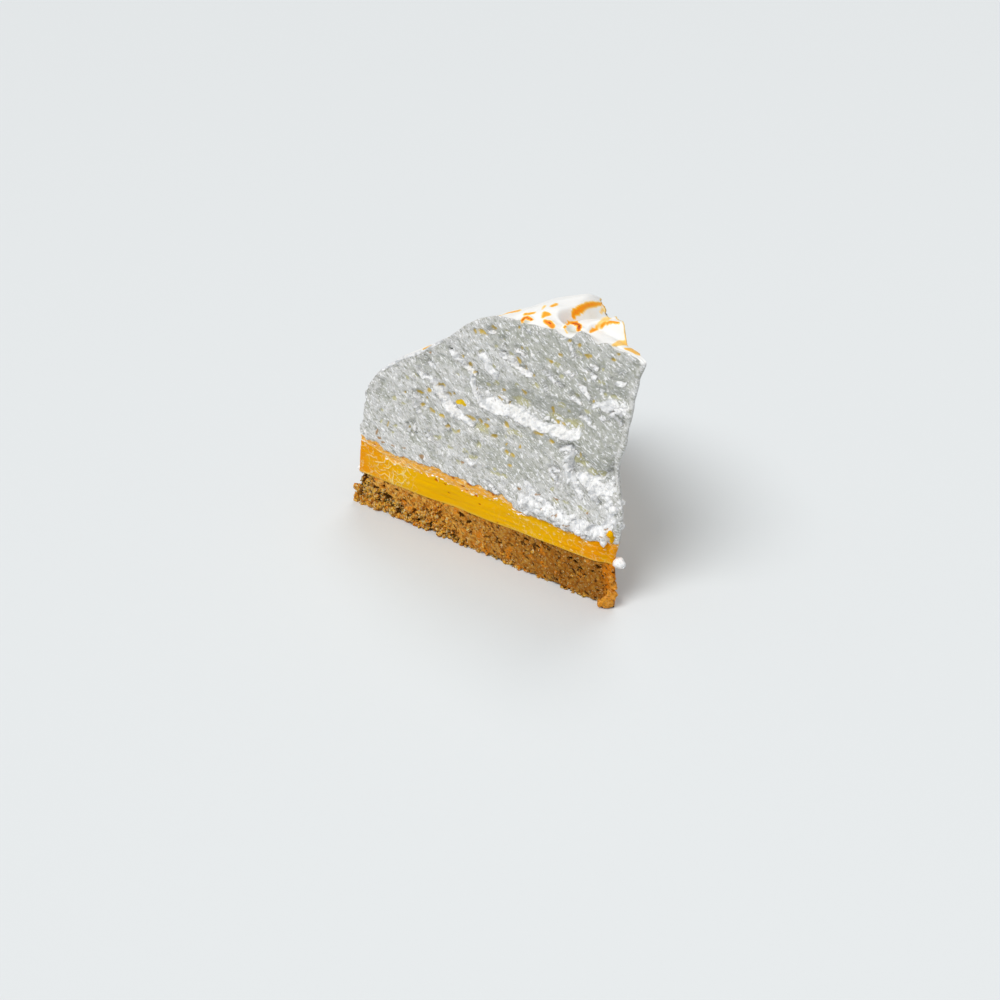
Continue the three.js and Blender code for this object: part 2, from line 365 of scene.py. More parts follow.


# Torn cut faces of the meringue

# All of this is placed by [distance, height] as it looks from the camera's side on a flat cut.
# Ledges are [step, softness, height over which they fade, line]: above its line the face is set
# back by the step, which fades out again further up. Dim patches and lumps are ellipses, [distance,
# height, half length, half height], and a lump also says how far it stands out; the dim patches are
# painted shade. Lips are small shelves, listed rim to tip or downwards, with a hollow on the left of
# that direction. Stains are listed by their size, which gives [half length, half height]; the olive
# ones are partly painted shade in hollows and partly the filling's tint through the foam.
stainSizes = {
    "small": [0.75, 0.6], "round": [1.25, 0.85], "long": [2.1, 0.75], "upright": [0.6, 1.2],
    "wide": [3.4, 1.4], "thin": [1.1, 0.42], "short": [0.55, 0.26],
}
frontTear = {
    "seed": 11,
    "ledges": [
        [3.4, 1.2, 10, [
            [19, 58.6], [25.2, 57.2], [29.2, 56.8], [33.2, 56.6], [36.7, 56], [40.2, 57.6], [44.2, 58.1],
            [49.2, 57.8], [53.2, 58.3], [59.2, 58.8],
        ]],
        [1.7, 0.8, 6, [
            [66.4, 49.2], [68.4, 50.2], [71.6, 51.6], [74.3, 53.4], [76.8, 56.4], [79.5, 58.6], [82, 60.6],
        ]],
        [1.0, 0.8, 4, [[54, 46.8], [58, 47.4], [62.6, 47.2], [66.5, 48.8]]],
        [2.2, 1.2, 7, [[2, 43.4], [8, 41.8], [14, 43], [20, 45]]],
        [1.6, 0.9, 5, [[4, 70.6], [8, 71.6], [13, 71.4], [16, 69.6]]],
        [1.1, 0.7, 5, [[40, 72.6], [45, 74.4], [50, 76.6]]],
        [1.0, 0.7, 5, [[61, 66.6], [66, 69.8], [71, 72]]],
        [1.0, 0.7, 4, [[77, 36.6], [82, 39]]],
        [1.2, 0.8, 4, [[83, 45.8], [88, 48]]],
    ],
    "lumps": [
        [38, 28.6, 6, 5.6, 1.7], [28, 26.8, 7, 4, 1.7], [17, 27.2, 8, 4.2, 1.9], [9, 27.4, 4.5, 5, 1.7],
        [22, 46, 2.4, 9, 1.7], [13, 40.5, 4, 3.4, 1.3], [5, 38.5, 2.6, 2.6, 1.5], [5, 33, 4, 4.5, 1.9],
        [10, 72.6, 4.4, 1.9, 1.3], [61.5, 35, 3, 2, 1.0], [51, 27.8, 4, 1.8, 0.8],
    ],
    "lips": [
        [[49.8, 77.3], [46.2, 76.9], [45.4, 75.3], [43, 74.4], [39.1, 73.4]],
        [[20.6, 75.7], [17.9, 73.5], [17, 72]], [[22.9, 70.6], [19.9, 69.8]], [[19.2, 65.2], [15.5, 64.6]],
        [[9.5, 68.9], [6.1, 66.2]], [[17.4, 83.6], [15.9, 82.4]], [[17.5, 80.3], [15.7, 79.8]],
        [[24.6, 88.5], [23.2, 84.3]], [[22.5, 84.5], [20.7, 84.7]], [[9.3, 80.3], [7.5, 79.9]],
        [[33.6, 71.6], [32, 70]], [[33.8, 76.3], [29.8, 73.3]],
        [[71.4, 72.9], [68.8, 71.8], [65, 70.3], [60.8, 67.9]],
        [[57.8, 75.2], [55.1, 74.1], [55.9, 71.8], [53, 70.5], [51.8, 69.6]],
        [[78.5, 59.2], [76.3, 57.9], [75, 56.4], [72.4, 54.6], [69.8, 53.1], [67.2, 50.9], [62.1, 48.8]],
        [[61.9, 65.8], [61.2, 63.5], [59.5, 60.3], [58.7, 58.7]], [[88.5, 53.2], [85.9, 51.7]],
        [[88.2, 48.3], [86, 46.6]], [[81, 66.2], [78.4, 64.7]], [[85.1, 61.7], [82, 60]],
        [[50, 81.1], [48.4, 80.1]], [[91.8, 38.9], [90.9, 37.2]], [[88.5, 41.2], [88.1, 38.5]],
        [[81.6, 39.4], [78.9, 37.5], [76.2, 36.8]], [[64.2, 34.9], [61.2, 34], [59, 38.2]],
        [[73.9, 45.8], [72.6, 43.1]], [[55.2, 84.1], [52.8, 83.8]], [[29, 42], [26.8, 38.8]],
        [[29.5, 43], [26.2, 43.8]], [[39.5, 35.1], [35.9, 31.9], [32.4, 30.3], [28.8, 28.3]],
        [
            [25.7, 52.1], [22.5, 53.5], [21.2, 51.7], [22.3, 48.6], [22.1, 45.9], [20, 44.7], [19.8, 41.6],
            [17.6, 37.7],
        ],
        [[10.4, 45.8], [5.8, 48.5]], [[16.6, 42], [13.1, 38.2], [11.4, 37.2]], [[12, 67.4], [10.5, 66.9]],
        [[29.1, 73.9], [26.8, 72.9]], [[25.5, 78.3], [23.3, 78]], [[43.6, 80.4], [41.2, 79.7]],
        [[29.1, 73.6], [28.4, 75.8]], [[57.2, 57.8], [52.8, 57]],
        [[54.4, 28.8], [51.4, 27.2], [49.5, 26.4]],
    ],
    "ochre": {
        "small": [
            [66.1, 72.9], [60.8, 68.3], [60.7, 82], [46.5, 61.4], [69.8, 57.8], [82.4, 52.3], [92.7, 52],
            [73, 44.5], [67.5, 45], [54.9, 52.9], [90.9, 38.6], [59.6, 62.5], [44, 87.9], [42.4, 81.4],
            [40.7, 75.4], [48.8, 66], [27.6, 83.2], [25.1, 88.6], [22, 88.2], [10, 90], [11, 87.3],
            [15.2, 71.4], [37.7, 73.5], [47.2, 46.4], [47.2, 43.7], [45.5, 38.7], [41.6, 47.4],
        ],
        "round": [
            [62.9, 70.5], [53.6, 85.4], [50.1, 62.8], [72, 56.8], [81, 55.6], [84.6, 49.6], [79.8, 48.4],
            [75.2, 48.3], [47.8, 53.3], [52.7, 47.6], [58.2, 51.3], [55.7, 50.6], [43.5, 77], [40.8, 67.3],
            [31.3, 80.2], [19, 86.1], [29.7, 52.6], [45, 42.9],
        ],
        "long": [[57.6, 82.8], [75.4, 59.3], [85.8, 53.8], [62.9, 51.1], [27, 61.1], [34.9, 54.3]],
        "upright": [[102.1, 36.7], [30, 64.4], [18.8, 51.9]],
    },
    # Olive patches: partly painted shade in hollows, partly the filling's tint through the foam.
    "olive": {
        "small": [
            [58, 76.2], [51.9, 79.5], [104.7, 42.1], [105.2, 37.5], [97.8, 37.5], [99.6, 34.5],
            [81.1, 40.8], [55, 66], [68, 65.5], [87.4, 60.3], [91.6, 58], [50, 82.1], [48.5, 85.7],
            [39.3, 82.1], [44.1, 68.5], [19.2, 78.1], [32.4, 80.8], [14.1, 83.2], [12.1, 75.2],
            [26.9, 76.2], [23.8, 65.8], [53, 33.7], [48.2, 49], [46.8, 43.1], [29.3, 39.1], [52.4, 35.5],
            [28.3, 36.2],
        ],
        "round": [
            [53.5, 72.5], [51.8, 67.3], [98.5, 48.3], [93.8, 47.4], [85.1, 47.3], [76.7, 48.7], [90, 37.5],
            [78, 38.6], [46.3, 78.3], [36.4, 70.7], [29, 80], [21.9, 86], [13.8, 79], [26.5, 66.7],
            [17.1, 67.5], [21.8, 71.9], [70.8, 37.4], [64.7, 37.5], [67.3, 32.7], [59.5, 42.3],
            [50.8, 34.1], [27.3, 32.1], [23.1, 33.3], [47.9, 34.2],
        ],
        "long": [[69.9, 44.8], [8.5, 75.2], [8.9, 70.1], [77.1, 39.3], [62, 36.4], [16.9, 33.2]],
        "wide": [
            [57.8, 49], [41.8, 63.8], [28.1, 62.6], [21.7, 62.3], [44, 51.6], [18.4, 49.7], [11.4, 47.6],
        ],
    },
    "curd": {"round": [[67.4, 55.4], [65.8, 55.8]], "small": [[68.4, 55], [64.6, 55.4]]},
    "rust": {
        "thin": [
            [103.7, 29.6], [98.6, 29.2], [93.1, 30], [66, 33.1], [34.6, 31.5], [26.9, 33.1], [22.7, 25.3],
            [9.8, 25.4], [80.3, 69.7], [105.5, 30.9], [36.6, 27.1],
        ],
        "small": [[8.6, 28.7], [32.7, 26.5], [27.5, 26.4], [15.4, 32.3], [41.8, 31.8]],
        "round": [[84.2, 29.2]],
        "upright": [[107.4, 32.6]],
    },
    "dim": [
        [16, 72, 17, 20], [14, 56, 12, 12], [22, 66, 20, 18], [46, 40, 16, 6], [40, 64.5, 20, 4.5],
        [36, 51, 7, 4], [58, 48.5, 5, 2], [10, 52, 9, 5], [30, 84, 30, 7],
    ],
}
backTear = {
    "seed": 37,
    "ledges": [
        [2.3, 1.1, 10, [[28, 59], [36, 61.6], [46, 66], [56, 68.4], [66, 69]]],
        [1.3, 0.9, 8, [[58, 44], [67, 47.4], [76, 52.6], [84, 54]]],
        [1.5, 1.0, 9, [[13, 42], [20, 46.6], [30, 52], [38, 53]]],
        [1.2, 0.8, 6, [[9, 72], [16, 74.4], [24, 79]]],
        [1.1, 0.7, 5, [[44, 76], [54, 79]]],
        [1.1, 0.7, 5, [[80, 60], [90, 64]]],
    ],
    "lumps": [[24, 27, 10, 4, 1.6], [64, 29, 12, 4, 1.4], [88, 33, 7, 6, 1.7]],
    "lips": [
        [[44, 72], [40, 70.6], [37, 70]], [[66, 71], [61, 69.6]], [[30, 84], [26, 82]],
        [[26, 64], [22, 61.6]], [[84, 62], [80, 60]], [[62, 54], [57, 52.4]], [[40, 56], [37, 54]],
        [[98, 48], [94, 46.6]], [[50, 38], [46, 36.4]], [[32, 40], [28, 38.6]], [[78, 38], [74, 37]],
        [[14, 66], [11, 64]], [[20, 38], [18, 34]], [[104, 42], [101, 41]], [[60, 79], [56, 78]],
        [[48, 86], [44, 85]],
    ],
    "ochre": {
        "small": [
            [36, 60], [66, 66], [48, 54], [76, 48], [90, 48], [60, 38], [26, 58], [52, 82], [14, 82],
        ],
        "round": [[30, 70], [55, 67], [70, 50], [22, 55], [40, 51], [48, 80]],
        "long": [[84, 47], [46, 66.4], [66, 64]],
    },
    "olive": {
        "small": [
            [34, 78], [62, 58], [92, 54], [18, 70], [44, 42], [70, 72], [82, 66], [100, 46], [24, 86],
        ],
        "round": [[56, 74], [38, 62], [96, 40], [26, 44], [66, 38], [12, 58]],
        "wide": [[54, 68], [76, 50], [28, 53]],
    },
    "curd": {"round": [[50, 68], [80, 36]]},
    "rust": {"thin": [[100, 32], [72, 31], [40, 31]], "small": [[20, 33], [88, 30], [56, 30]]},
    "dim": [[16, 72, 17, 20], [54, 68, 18, 5], [28, 53, 14, 4]],
}
ledgeShape = {
    "level": 3.2,
    "lipBelow": 1.7,
    "lipWidth": 1.4,
    "lipShare": 0.3,
    "uneven": 0.9,
    "unevenSize": 3.2,
    # A ledge's white edge is partly a painted highlight where it catches light.
    "whiteFrom": 0.8,  # steps above this have a white edge
}
lipShape = {
    "softness": 0.35,
    "setBack": 1.1,
    "level": 0.5,
    "fadesBy": 2.2,
    "ridge": 0.4,
    "ridgeWidth": 0.5,
    "jagged": 0.3,
    "jaggedSize": 1.1,
    "edge": [-0.1, 0.47],  # middle and width of the white edge, beside the line
    "longEdge": [-0.3, 0.85],
    "longWhite": 1.3,
    "longFrom": 4,  # points in a line
}
sightLine = [0.7, 0.72]  # how far a point set back by 1 looks moved towards the tip and upwards
warp = {"sizes": [5, 1.8], "along": [0.5, 0.55], "up": [0.5, 0.5]}
foam = {
    "slant": 36.0,  # fibres run down towards the tip
    "fibre": [1.9, 0.85, 1.1],
    "fibreHeight": 0.3,
    "fleck": [2.2, 1.0, 1.3],
    "fleckHeight": 0.5,
    "fleckOver": [0.42, 0.7],  # of the noise
    "cluster": 8,
    "clusterOver": [-0.3, 0.5],
    "blob": 2.2,
    "blobReach": 0.8,
    "blobHeight": 1.3,
    "fold": [1.5, 2.4, 1.6],
    "foldHeight": 1.2,
    "roughOver": [0.5, 1.5],  # of the lumps' relief
    "pit": [4.6, 2.4, 3],
    "pitDepth": 0.7,
    "pitOver": [0.2, 0.6],
    "stainDepth": 0.5,
}


# Where points lie beside a segment in a plane: the distance to it, the share along it, held within
# it, and the side, 1 to the left of its direction and -1 to the right.
def besideSegment(right, up, start, end):
    runRight, runUp = end[0] - start[0], end[1] - start[1]
    offRight, offUp = right - start[0], up - start[1]
    share = np.clip((offRight * runRight + offUp * runUp) / (runRight ** 2 + runUp ** 2), 0, 1)
    gap = np.hypot(offRight - share * runRight, offUp - share * runUp)
    return gap, share, np.sign(runRight * offUp - runUp * offRight)


# Distance to the nearest of several lines in a plane, negative to the right of that line.
def besideLines(lines, right, up):
    away = np.full_like(right, 99.0)
    side = np.ones_like(right)
    for line in lines:
        for start, end in zip(line, line[1:]):
            gap, _, turn = besideSegment(right, up, start, end)
            nearer = gap < away
            away = np.where(nearer, gap, away)
            side = np.where(nearer, turn, side)
    return away * side


# Places on a cut face as they are seen, where the tip is to the right.
def seenLines(lines):
    return [[[-distance, height] for distance, height in line] for line in lines]


# Points of a cut face pushed about by noise, so that what is drawn there gets ragged edges.
def warpedFace(distance, height, seed):
    spots = spotsAt(distance, height, seed)
    pushed, lifted = distance, height
    for number, size in enumerate(warp["sizes"]):
        pushed = pushed + warp["along"][number] * rollingNoise(spots, size, seed + number)
        lifted = lifted + warp["up"][number] * rollingNoise(spots, size, seed + number + 2)
    return spots, pushed, lifted


# Sum of the ledges: back above each line, fading over a height, and out in a lip below it. The
# second result says how much of a torn ledge each point is; it is painted white, partly as a
# highlight where the ledge catches light.
def ledgeRelief(ledges, distance, height, seed):
    shape = ledgeShape
    uneven = shape["uneven"] * rollingNoise(spotsAt(distance, height, seed), shape["unevenSize"], seed + 25)
    relief = 0
    band = 0
    for step, softness, fadesOver, line in ledges:
        at, level = np.array(line).T
        above = height - np.interp(distance, at, level) + uneven
        inside = ease(distance, at[0] - 2, at[0] + 3) * (1 - ease(distance, at[-1] - 3, at[-1] + 2))
        fade = 1 - ease(above, shape["level"], shape["level"] + fadesOver)
        lip = shape["lipShare"] * hill(above, -shape["lipBelow"], shape["lipWidth"])
        relief = relief + inside * step * (lip - ease(above, -softness, softness) * fade)
        strong = np.clip(step / shape["whiteFrom"] - 1, 0, 1)
        band = np.maximum(band, inside * hill(above, -0.1, softness * 1.2) * strong)
    return relief, band


# How far out of an ellipse's middle points are, squared, as a share of the way to its outline.
def ellipseShare(distance, height, at, level, halfLength, halfHeight):
    return ((distance - at) / halfLength) ** 2 + ((height - level) / halfHeight) ** 2


# Sum of the lumps: each is a bell over an ellipse.
def lumpRelief(lumps, distance, height):
    relief = 0
    for *ellipse, standsOut in lumps:
        relief = relief + standsOut * np.exp(-1.4 * ellipseShare(distance, height, *ellipse))
    return relief


# How strongly a point is stained: 1 inside any of the ellipses and 0 outside, soft between.
def stained(stains, distance, height):
    strongest = np.zeros_like(distance)
    for size, places in stains.items():
        for place in places:
            spread = ellipseShare(distance, height, *place, *stainSizes[size])
            strongest = np.maximum(strongest, 1 - ease(spread, 0.05, 2.1))
    return strongest


# How much painted shade a point gets from its dim patches, in the same way.
def dimmed(patches, distance, height):
    strongest = np.zeros_like(distance)
    for patch in patches:
        strongest = np.maximum(strongest, 1 - ease(ellipseShare(distance, height, *patch), 0.1, 1.6))
    return strongest


# Lips: how far the face is set back beside their lines, how much of a ridge it is there, and how
# white their edge is, which is wider and whiter on long lips. The white edge is partly a painted
# highlight where the lip catches light.
def lipMarks(face, spots, seenAt, seenUp):
    shape = lipShape
    jagged = shape["jagged"] * rollingNoise(spots, shape["jaggedSize"], face["seed"] + 21)
    whole = 0.9 + 0.4 * rollingNoise(spots, 2.6, face["seed"] + 23)
    beside = besideLines(seenLines(face["lips"]), -seenAt, seenUp) + jagged
    longLips = [line for line in face["lips"] if len(line) >= shape["longFrom"]]
    besideLong = besideLines(seenLines(longLips), -seenAt, seenUp) + jagged
    shelf = ease(beside, -shape["softness"], shape["softness"])
    shelf = shelf * (1 - ease(beside, shape["level"], shape["fadesBy"]))
    ridge = whole * hill(beside, -shape["softness"], shape["ridgeWidth"])
    edge = whole * hill(beside, *shape["edge"])
    longEdge = shape["longWhite"] * hill(besideLong, *shape["longEdge"])
    return shape["setBack"] * whole * shelf, shape["ridge"] * ridge, np.maximum(edge, longEdge)


# Torn foam: ledges, lumps and lips, with slanting fibres and flecks all over, blobs and upright
# folds on ledges and lumps, and hollows where it is stained. Also gives the marks for its colours:
# white, partly a painted highlight on ledges, lips and flecks, and painted shade over the dim
# patches and pits.
def tornFoam(face, distance, height):
    seed = face["seed"]
    spots, pushed, lifted = warpedFace(distance, height, seed)
    relief, band = ledgeRelief(face["ledges"], pushed, lifted, seed)
    smeared = lumpRelief(face["lumps"], pushed, lifted)
    relief = relief + smeared
    seenAt, seenUp = pushed + sightLine[0] * relief, lifted - sightLine[1] * relief
    setBack, ridge, edge = lipMarks(face, spots, seenAt, seenUp)
    slant = math.radians(foam["slant"])
    alongStreak = -distance * math.cos(slant) - height * math.sin(slant)
    acrossStreak = -distance * math.sin(slant) + height * math.cos(slant)
    streaks = np.stack([alongStreak, acrossStreak, spots[:, 2]], axis=1)
    fibres = rollingOctaves(streaks, foam["fibre"], seed + 5, 2, 0.6)
    clustered = ease(rollingNoise(spots, foam["cluster"], seed + 13), *foam["clusterOver"])
    flecks = ease(rollingNoise(streaks, foam["fleck"], seed + 11), *foam["fleckOver"]) * clustered
    near, _, _ = scatteredCells(spots, foam["blob"], seed + 9)
    blobs = ease(foam["blobReach"] - near, 0, foam["blobReach"]) - 0.4
    folds = rollingNoise(spots + 0.8 * blobs[:, None], foam["fold"], seed + 15)
    rough = np.clip(band * 1.3 + ease(smeared, *foam["roughOver"]), 0, 1)
    fine = foam["fibreHeight"] * fibres + foam["fleckHeight"] * flecks
    torn = foam["blobHeight"] * blobs + foam["foldHeight"] * folds
    marks = {name: stained(face[name], seenAt, seenUp) for name in ("ochre", "olive", "curd", "rust")}
    sunk = np.maximum(marks["ochre"], 0.7 * marks["olive"])
    pits = ease(rollingNoise(streaks, foam["pit"], seed + 27), *foam["pitOver"]) * (1 - rough)
    relief = relief + lerp(fine, torn, rough) - foam["stainDepth"] * sunk * (1 - rough)
    relief = relief - foam["pitDepth"] * pits + ridge - setBack
    # White: whiter torn foam, partly a painted highlight where ledges, lips and flecks catch light.
    marks["white"] = np.clip(np.maximum(rough, 1.2 * edge) + 0.8 * flecks, 0, 1)
    # Painted shade over the dim patches and in the pits.
    marks["dim"] = np.maximum(dimmed(face["dim"], pushed, lifted), pits)
    return relief, marks


# Rolling relief of the smooth rim side.
def rimFoam(run, height):
    return 0.7 * rollingOctaves(spotsAt(run, height, 7.0), [9, 6, 6], 71, 3)


meringueCells = [236, 58, 122]
whiteBrim = {"rises": [70, 78], "falls": [104, 108], "depth": [0.7, 1.7]}  # at the cut's top edge


# The meringue stands on the filling's roof.
def meringueFloor(distance, across):
    return fillingRoof(distance, across) + pie["seam"]


def makeMeringue():
    shares, faces = closedBlock(meringueCells)
    placed = intoSlice(shares, meringueFloor, domeHeight, [
        lambda distance, height: tornFoam(frontTear, distance, height)[0],
        lambda distance, height: tornFoam(backTear, distance, height)[0],
        rimFoam,
    ])
    distance, across, height = placed["distance"], placed["across"], placed["height"]
    onTop = shares[:, 2] == 1
    isSkin = (onTop | (shares[:, 0] == 0)) & (shares[:, 1] > 0) & (shares[:, 1] < 1)
    marks = {
        "skin": isSkin.astype(float),
        "toast": toastedMark(placed["points"], distance, across) * onTop,
        # Painted shade: the valleys between petals and the hollows of the curls are marked to be painted
        # darker.
        "valley": ease(-petalHeight(distance, across), 0.4, 3.6) * onTop,
        "hollow": curlHeight(distance, across)[1] * onTop,
    }
    for side, face in enumerate((frontTear, backTear)):
        cut = shares[:, 1] == side
        for name, values in tornFoam(face, distance, height)[1].items():
            marks[name] = marks.get(name, 0) + cut * values
    belowTop = domeHeight(distance, across) - height
    brim = ease(distance, *whiteBrim["rises"]) * (1 - ease(distance, *whiteBrim["falls"]))
    brim = brim * (1 - ease(belowTop, *whiteBrim["depth"]))
    marks["white"] = np.maximum(marks["white"], brim * (1 - isSkin))
    return meshObject("torched_meringue", placed["points"], faces, marks)


# Browning as it looks from the photo's side: [strength, height above which it browns, line], with a
# line's [right, up, half width] measured from the middle of the view, seenAway from the camera.
# fadesOver is in half widths.
browning = {"seenAway": 400, "fadesOver": [0.65, 1.5], "ragged": 0.15, "raggedSize": 1.9}
toastBands = [
    [0.58, 85.0, [
        [24.6, 61.6, 0.75], [25.3, 62.6, 1.1], [26.9, 63.8, 1.1], [28.7, 64.8, 0.9], [30.9, 65.2, 0.7],
        [32.7, 65.4, 0.5], [34.1, 65.4, 0.2],
    ]],
    [0.58, 85.0, [
        [30.2, 56, 0.3], [31.7, 56.8, 0.4], [33.4, 58, 0.4], [35.1, 58.8, 0.4], [36.8, 59.3, 0.35],
        [39.5, 59.1, 0.3],
    ]],
    [0.2, 85.0, [[33.1, 58.6, 0.7], [34.8, 59.9, 0.9], [36.3, 60.9, 0.75]]],
    [0.26, 85.0, [
        [37.7, 51.5, 0.5], [39.5, 52.3, 0.8], [41.6, 52.4, 0.8], [43.6, 51.9, 0.6], [45.4, 51.1, 0.3],
    ]],
    [0.3, 85.0, [[41.7, 50.5, 0.3], [43.8, 50, 0.6], [45.6, 49.3, 0.8], [47.9, 48.1, 0.5]]],
    [0.3, 85.0, [[44.3, 52.3, 0.3], [46, 50.6, 0.3], [47.7, 48.9, 0.35]]],
    [0.5, 85.0, [[21.4, 57.6, 0.25], [22.2, 58.6, 0.3], [23.9, 59.1, 0.4]]],
    [0.85, 85.0, [[23.9, 59.1, 0.4], [25.6, 58.8, 0.45], [26.6, 58.1, 0.5], [26.2, 56.8, 0.5]]],
    [0.22, 85.0, [[21.7, 57, 0.3], [22.3, 55.7, 0.3]]],
    [0.45, 85.0, [[14.2, 61, 0.4], [15, 62, 0.75], [16.3, 61.9, 0.55]]],
    [0.62, 85.0, [[15, 59.6, 0.55], [16.6, 58.9, 0.9], [17.5, 58, 0.7]]],
    [1.0, 85.0, [[16.5, 59, 0.35], [16.8, 58.8, 0.3]]],
    [0.85, 85.0, [[7.5, 59.6, 0.35], [8.1, 60.6, 0.35], [9.2, 61, 0.35], [10.5, 60.2, 0.35]]],
    [0.42, 85.0, [[8.2, 61.9, 0.25], [11.5, 62.5, 0.3]]],
    [0.4, 85.0, [[17.2, 64.5, 0.35], [18.8, 65.2, 0.35]]],
    [0.25, 85.0, [[14.1, 63.8, 0.3], [15, 64.6, 0.3]]],
    [0.3, 85.0, [[34.7, 65.2, 0.25], [34.5, 64, 0.25], [33.8, 62.5, 0.3]]],
    [0.5, 66.0, [[-25.3, 50.3, 0.3], [-19.7, 52.7, 0.3]]],
    [0.35, 85.0, [[0, 61.7, 0.25], [6.7, 63.3, 0.25]]],
]
# The crown's edge at the back cut, golden up to a distance over which it fades.
goldenRim = {"width": 0.9, "strength": 0.3, "fadesOver": [50, 58.0]}


# The camera tips up from looking straight down, turns to its bearing, and rolls.
def cameraTurn():
    tilt = Euler((math.radians(90 - view["elevation"]), 0, math.radians(view["azimuth"]))).to_matrix()
    return tilt @ Matrix.Rotation(math.radians(view["roll"]), 3, "Z")


# Nearness to the bands' lines, for points as the camera sees them: the distance to every segment
# of a line, measured in half widths there. The crown's edge at the back cut is golden too.
def toastedMark(points, distance, across):
    seen = (points - np.array(view["place"])) @ np.array(cameraTurn())
    right, up = (browning["seenAway"] * seen[:, k] / -seen[:, 2] for k in (0, 1))
    ragged = browning["ragged"] * rollingOctaves(points, browning["raggedSize"], 83, 2)
    toast = np.zeros_like(distance)
    for strength, above, line in toastBands:
        onCrown = ease(points[:, 2], above - 1, above + 1)
        for start, end in zip(line, line[1:]):
            gap, share, _ = besideSegment(right, up, start, end)
            inWidths = (gap + ragged) / lerp(start[2], end[2], share)
            toast = np.maximum(toast, strength * (1 - ease(inWidths, *browning["fadesOver"])) * onCrown)
    fromBack = (1 - across) * distance * sliceAngle
    rim = 1 - ease(fromBack + 2 * ragged, 0, goldenRim["width"])
    rim = rim * (1 - ease(distance, *goldenRim["fadesOver"]))
    return np.clip(np.maximum(toast, goldenRim["strength"] * rim), 0, 1)


# Filling

fillingCells = [420, 24, 60]
# Marks in the cut filling, by [distance, height]: thin pale lines, which are painted highlights of
# the sheen on its wet wrinkles, pale flecks and brown spots. band gives how deep the peach band
# under the foam is, by distance.
fillingCut = {
    "lines": [
        [
            [112.1, 26.4], [108.4, 25.8], [105.4, 25], [102.6, 24.6], [101.5, 23.4], [98.8, 22.2],
            [95.7, 22.8], [93.7, 22.2],
        ],
        [[96.5, 25.6], [94.5, 24.7], [92.1, 23.2], [91.6, 22.1], [89.6, 20.5]],
        [[90.9, 24.7], [88.8, 24.1], [85.3, 23.3]], [[78.3, 23.9], [77.2, 23.5], [76.6, 22.2]],
        [[107.7, 16.3], [104.9, 15.4], [102.7, 16.7], [100.3, 16]],
        [[98.3, 19.8], [98.1, 17.8], [98.5, 15.3], [98, 13.4], [96.2, 12.4]],
        [[97.7, 19.5], [95.6, 18.7], [92.8, 20.1], [92.2, 21.4]],
        [[107.8, 20.2], [105.6, 20.4], [103.1, 21.3], [102.4, 23.1]],
        [[103.2, 19.2], [100.7, 19.5], [99.5, 21]], [[95.7, 15.7], [93.6, 15.7], [91.7, 18.2]],
        [[67.4, 25], [65.7, 24.8], [63.8, 24.5], [62.7, 23.7]], [[94, 20.4], [92.6, 18.4]],
        [[104.6, 17.6], [102.2, 18.4]], [[110.6, 22], [108.4, 21.6]], [[100.2, 17.4], [99.6, 14.4]],
    ],
    "flecks": {
        "short": [
            [50.8, 23.9], [48.9, 22.9], [45.3, 22.4], [43.4, 22], [45.5, 20.5], [41, 20.7], [38.2, 21],
            [61.8, 22.2], [59.1, 22.5], [53.9, 23.1], [37.8, 21.2], [39.5, 18.1], [32.1, 19.8],
            [29.1, 22.1], [32.8, 17.3], [27, 19.6], [25.7, 21.2], [23.2, 21.1], [20.4, 20.1], [16.8, 20.6],
            [15.3, 22.1], [13.1, 21.1], [15.1, 18.4], [7.2, 21], [4.7, 19.9], [19.9, 16.4], [18.2, 15.5],
            [56.4, 22.8], [35.4, 20.2], [30.6, 20.8], [24.4, 17.8], [11.2, 19.2], [98.9, 25.2],
            [96.2, 24.2], [88, 22.2],
        ],
    },
    "spots": {
        "short": [
            [72.1, 19], [58.1, 19.7], [50.5, 15.3], [64.1, 22.7], [73.8, 22], [102, 26.1], [86.4, 25.7],
        ],
        "small": [
            [77.7, 22.2], [59.9, 22.5], [108.7, 27], [94.4, 26.2], [70, 25.9], [52.8, 25.4], [65.6, 24],
        ],
        "round": [[84.2, 27.4], [53.8, 26.6], [62.6, 26]],
    },
    "band": [[5, 0.4], [30, 0.7], [45, 1.2], [56, 3.0], [64, 3.9], [90, 3.6], [104, 2.9], [112, 1.6]],
}
fillingShape = {
    "waves": 0.4,
    "waveSize": [14, 8, 8],
    "striations": 0.12,
    "striationSize": [9, 0.8, 3],
    "beads": 0.35,
    "beadSize": 1.8,
    "lines": 0.2,
    "lineWidth": 0.35,
    "spots": 0.35,
    "tipSwell": 0.5,
    "tipUpTo": [9, 17],
}


# Cut filling: slow waves with level striations, beads in the peach band, the pale lines, hollows
# at the brown spots, and a swelling at the tip, half way up the filling.
def fillingRelief(distance, height):
    shape = fillingShape
    spots = spotsAt(distance, height)
    wavy = shape["waves"] * rollingNoise(spots, shape["waveSize"], 41)
    wavy = wavy + shape["striations"] * rollingNoise(spots, shape["striationSize"], 43)
    tip = 1 - ease(distance, *shape["tipUpTo"])
    beads = shape["beads"] * rollingOctaves(spots, shape["beadSize"], 47, 2) * bandShare(distance, height)
    lines = shape["lines"] * hill(besideLines(fillingCut["lines"], distance, height), 0, shape["lineWidth"])
    sunk = shape["spots"] * stained(fillingCut["spots"], distance, height)
    return wavy + beads + lines + shape["tipSwell"] * tip * hill(height, 20, 4) - sunk


# 1 in the peach band under the foam and 0 below it, with a ragged border.
def bandShare(distance, height):
    below = fillingRoof(distance, np.zeros_like(distance)) - height
    below = below + 0.7 * rollingOctaves(spotsAt(distance, height), [3, 1.6, 3], 57, 3)
    depth = straightLine(fillingCut["band"], distance)
    return 1 - ease(below, depth - 0.7, depth + 0.7)


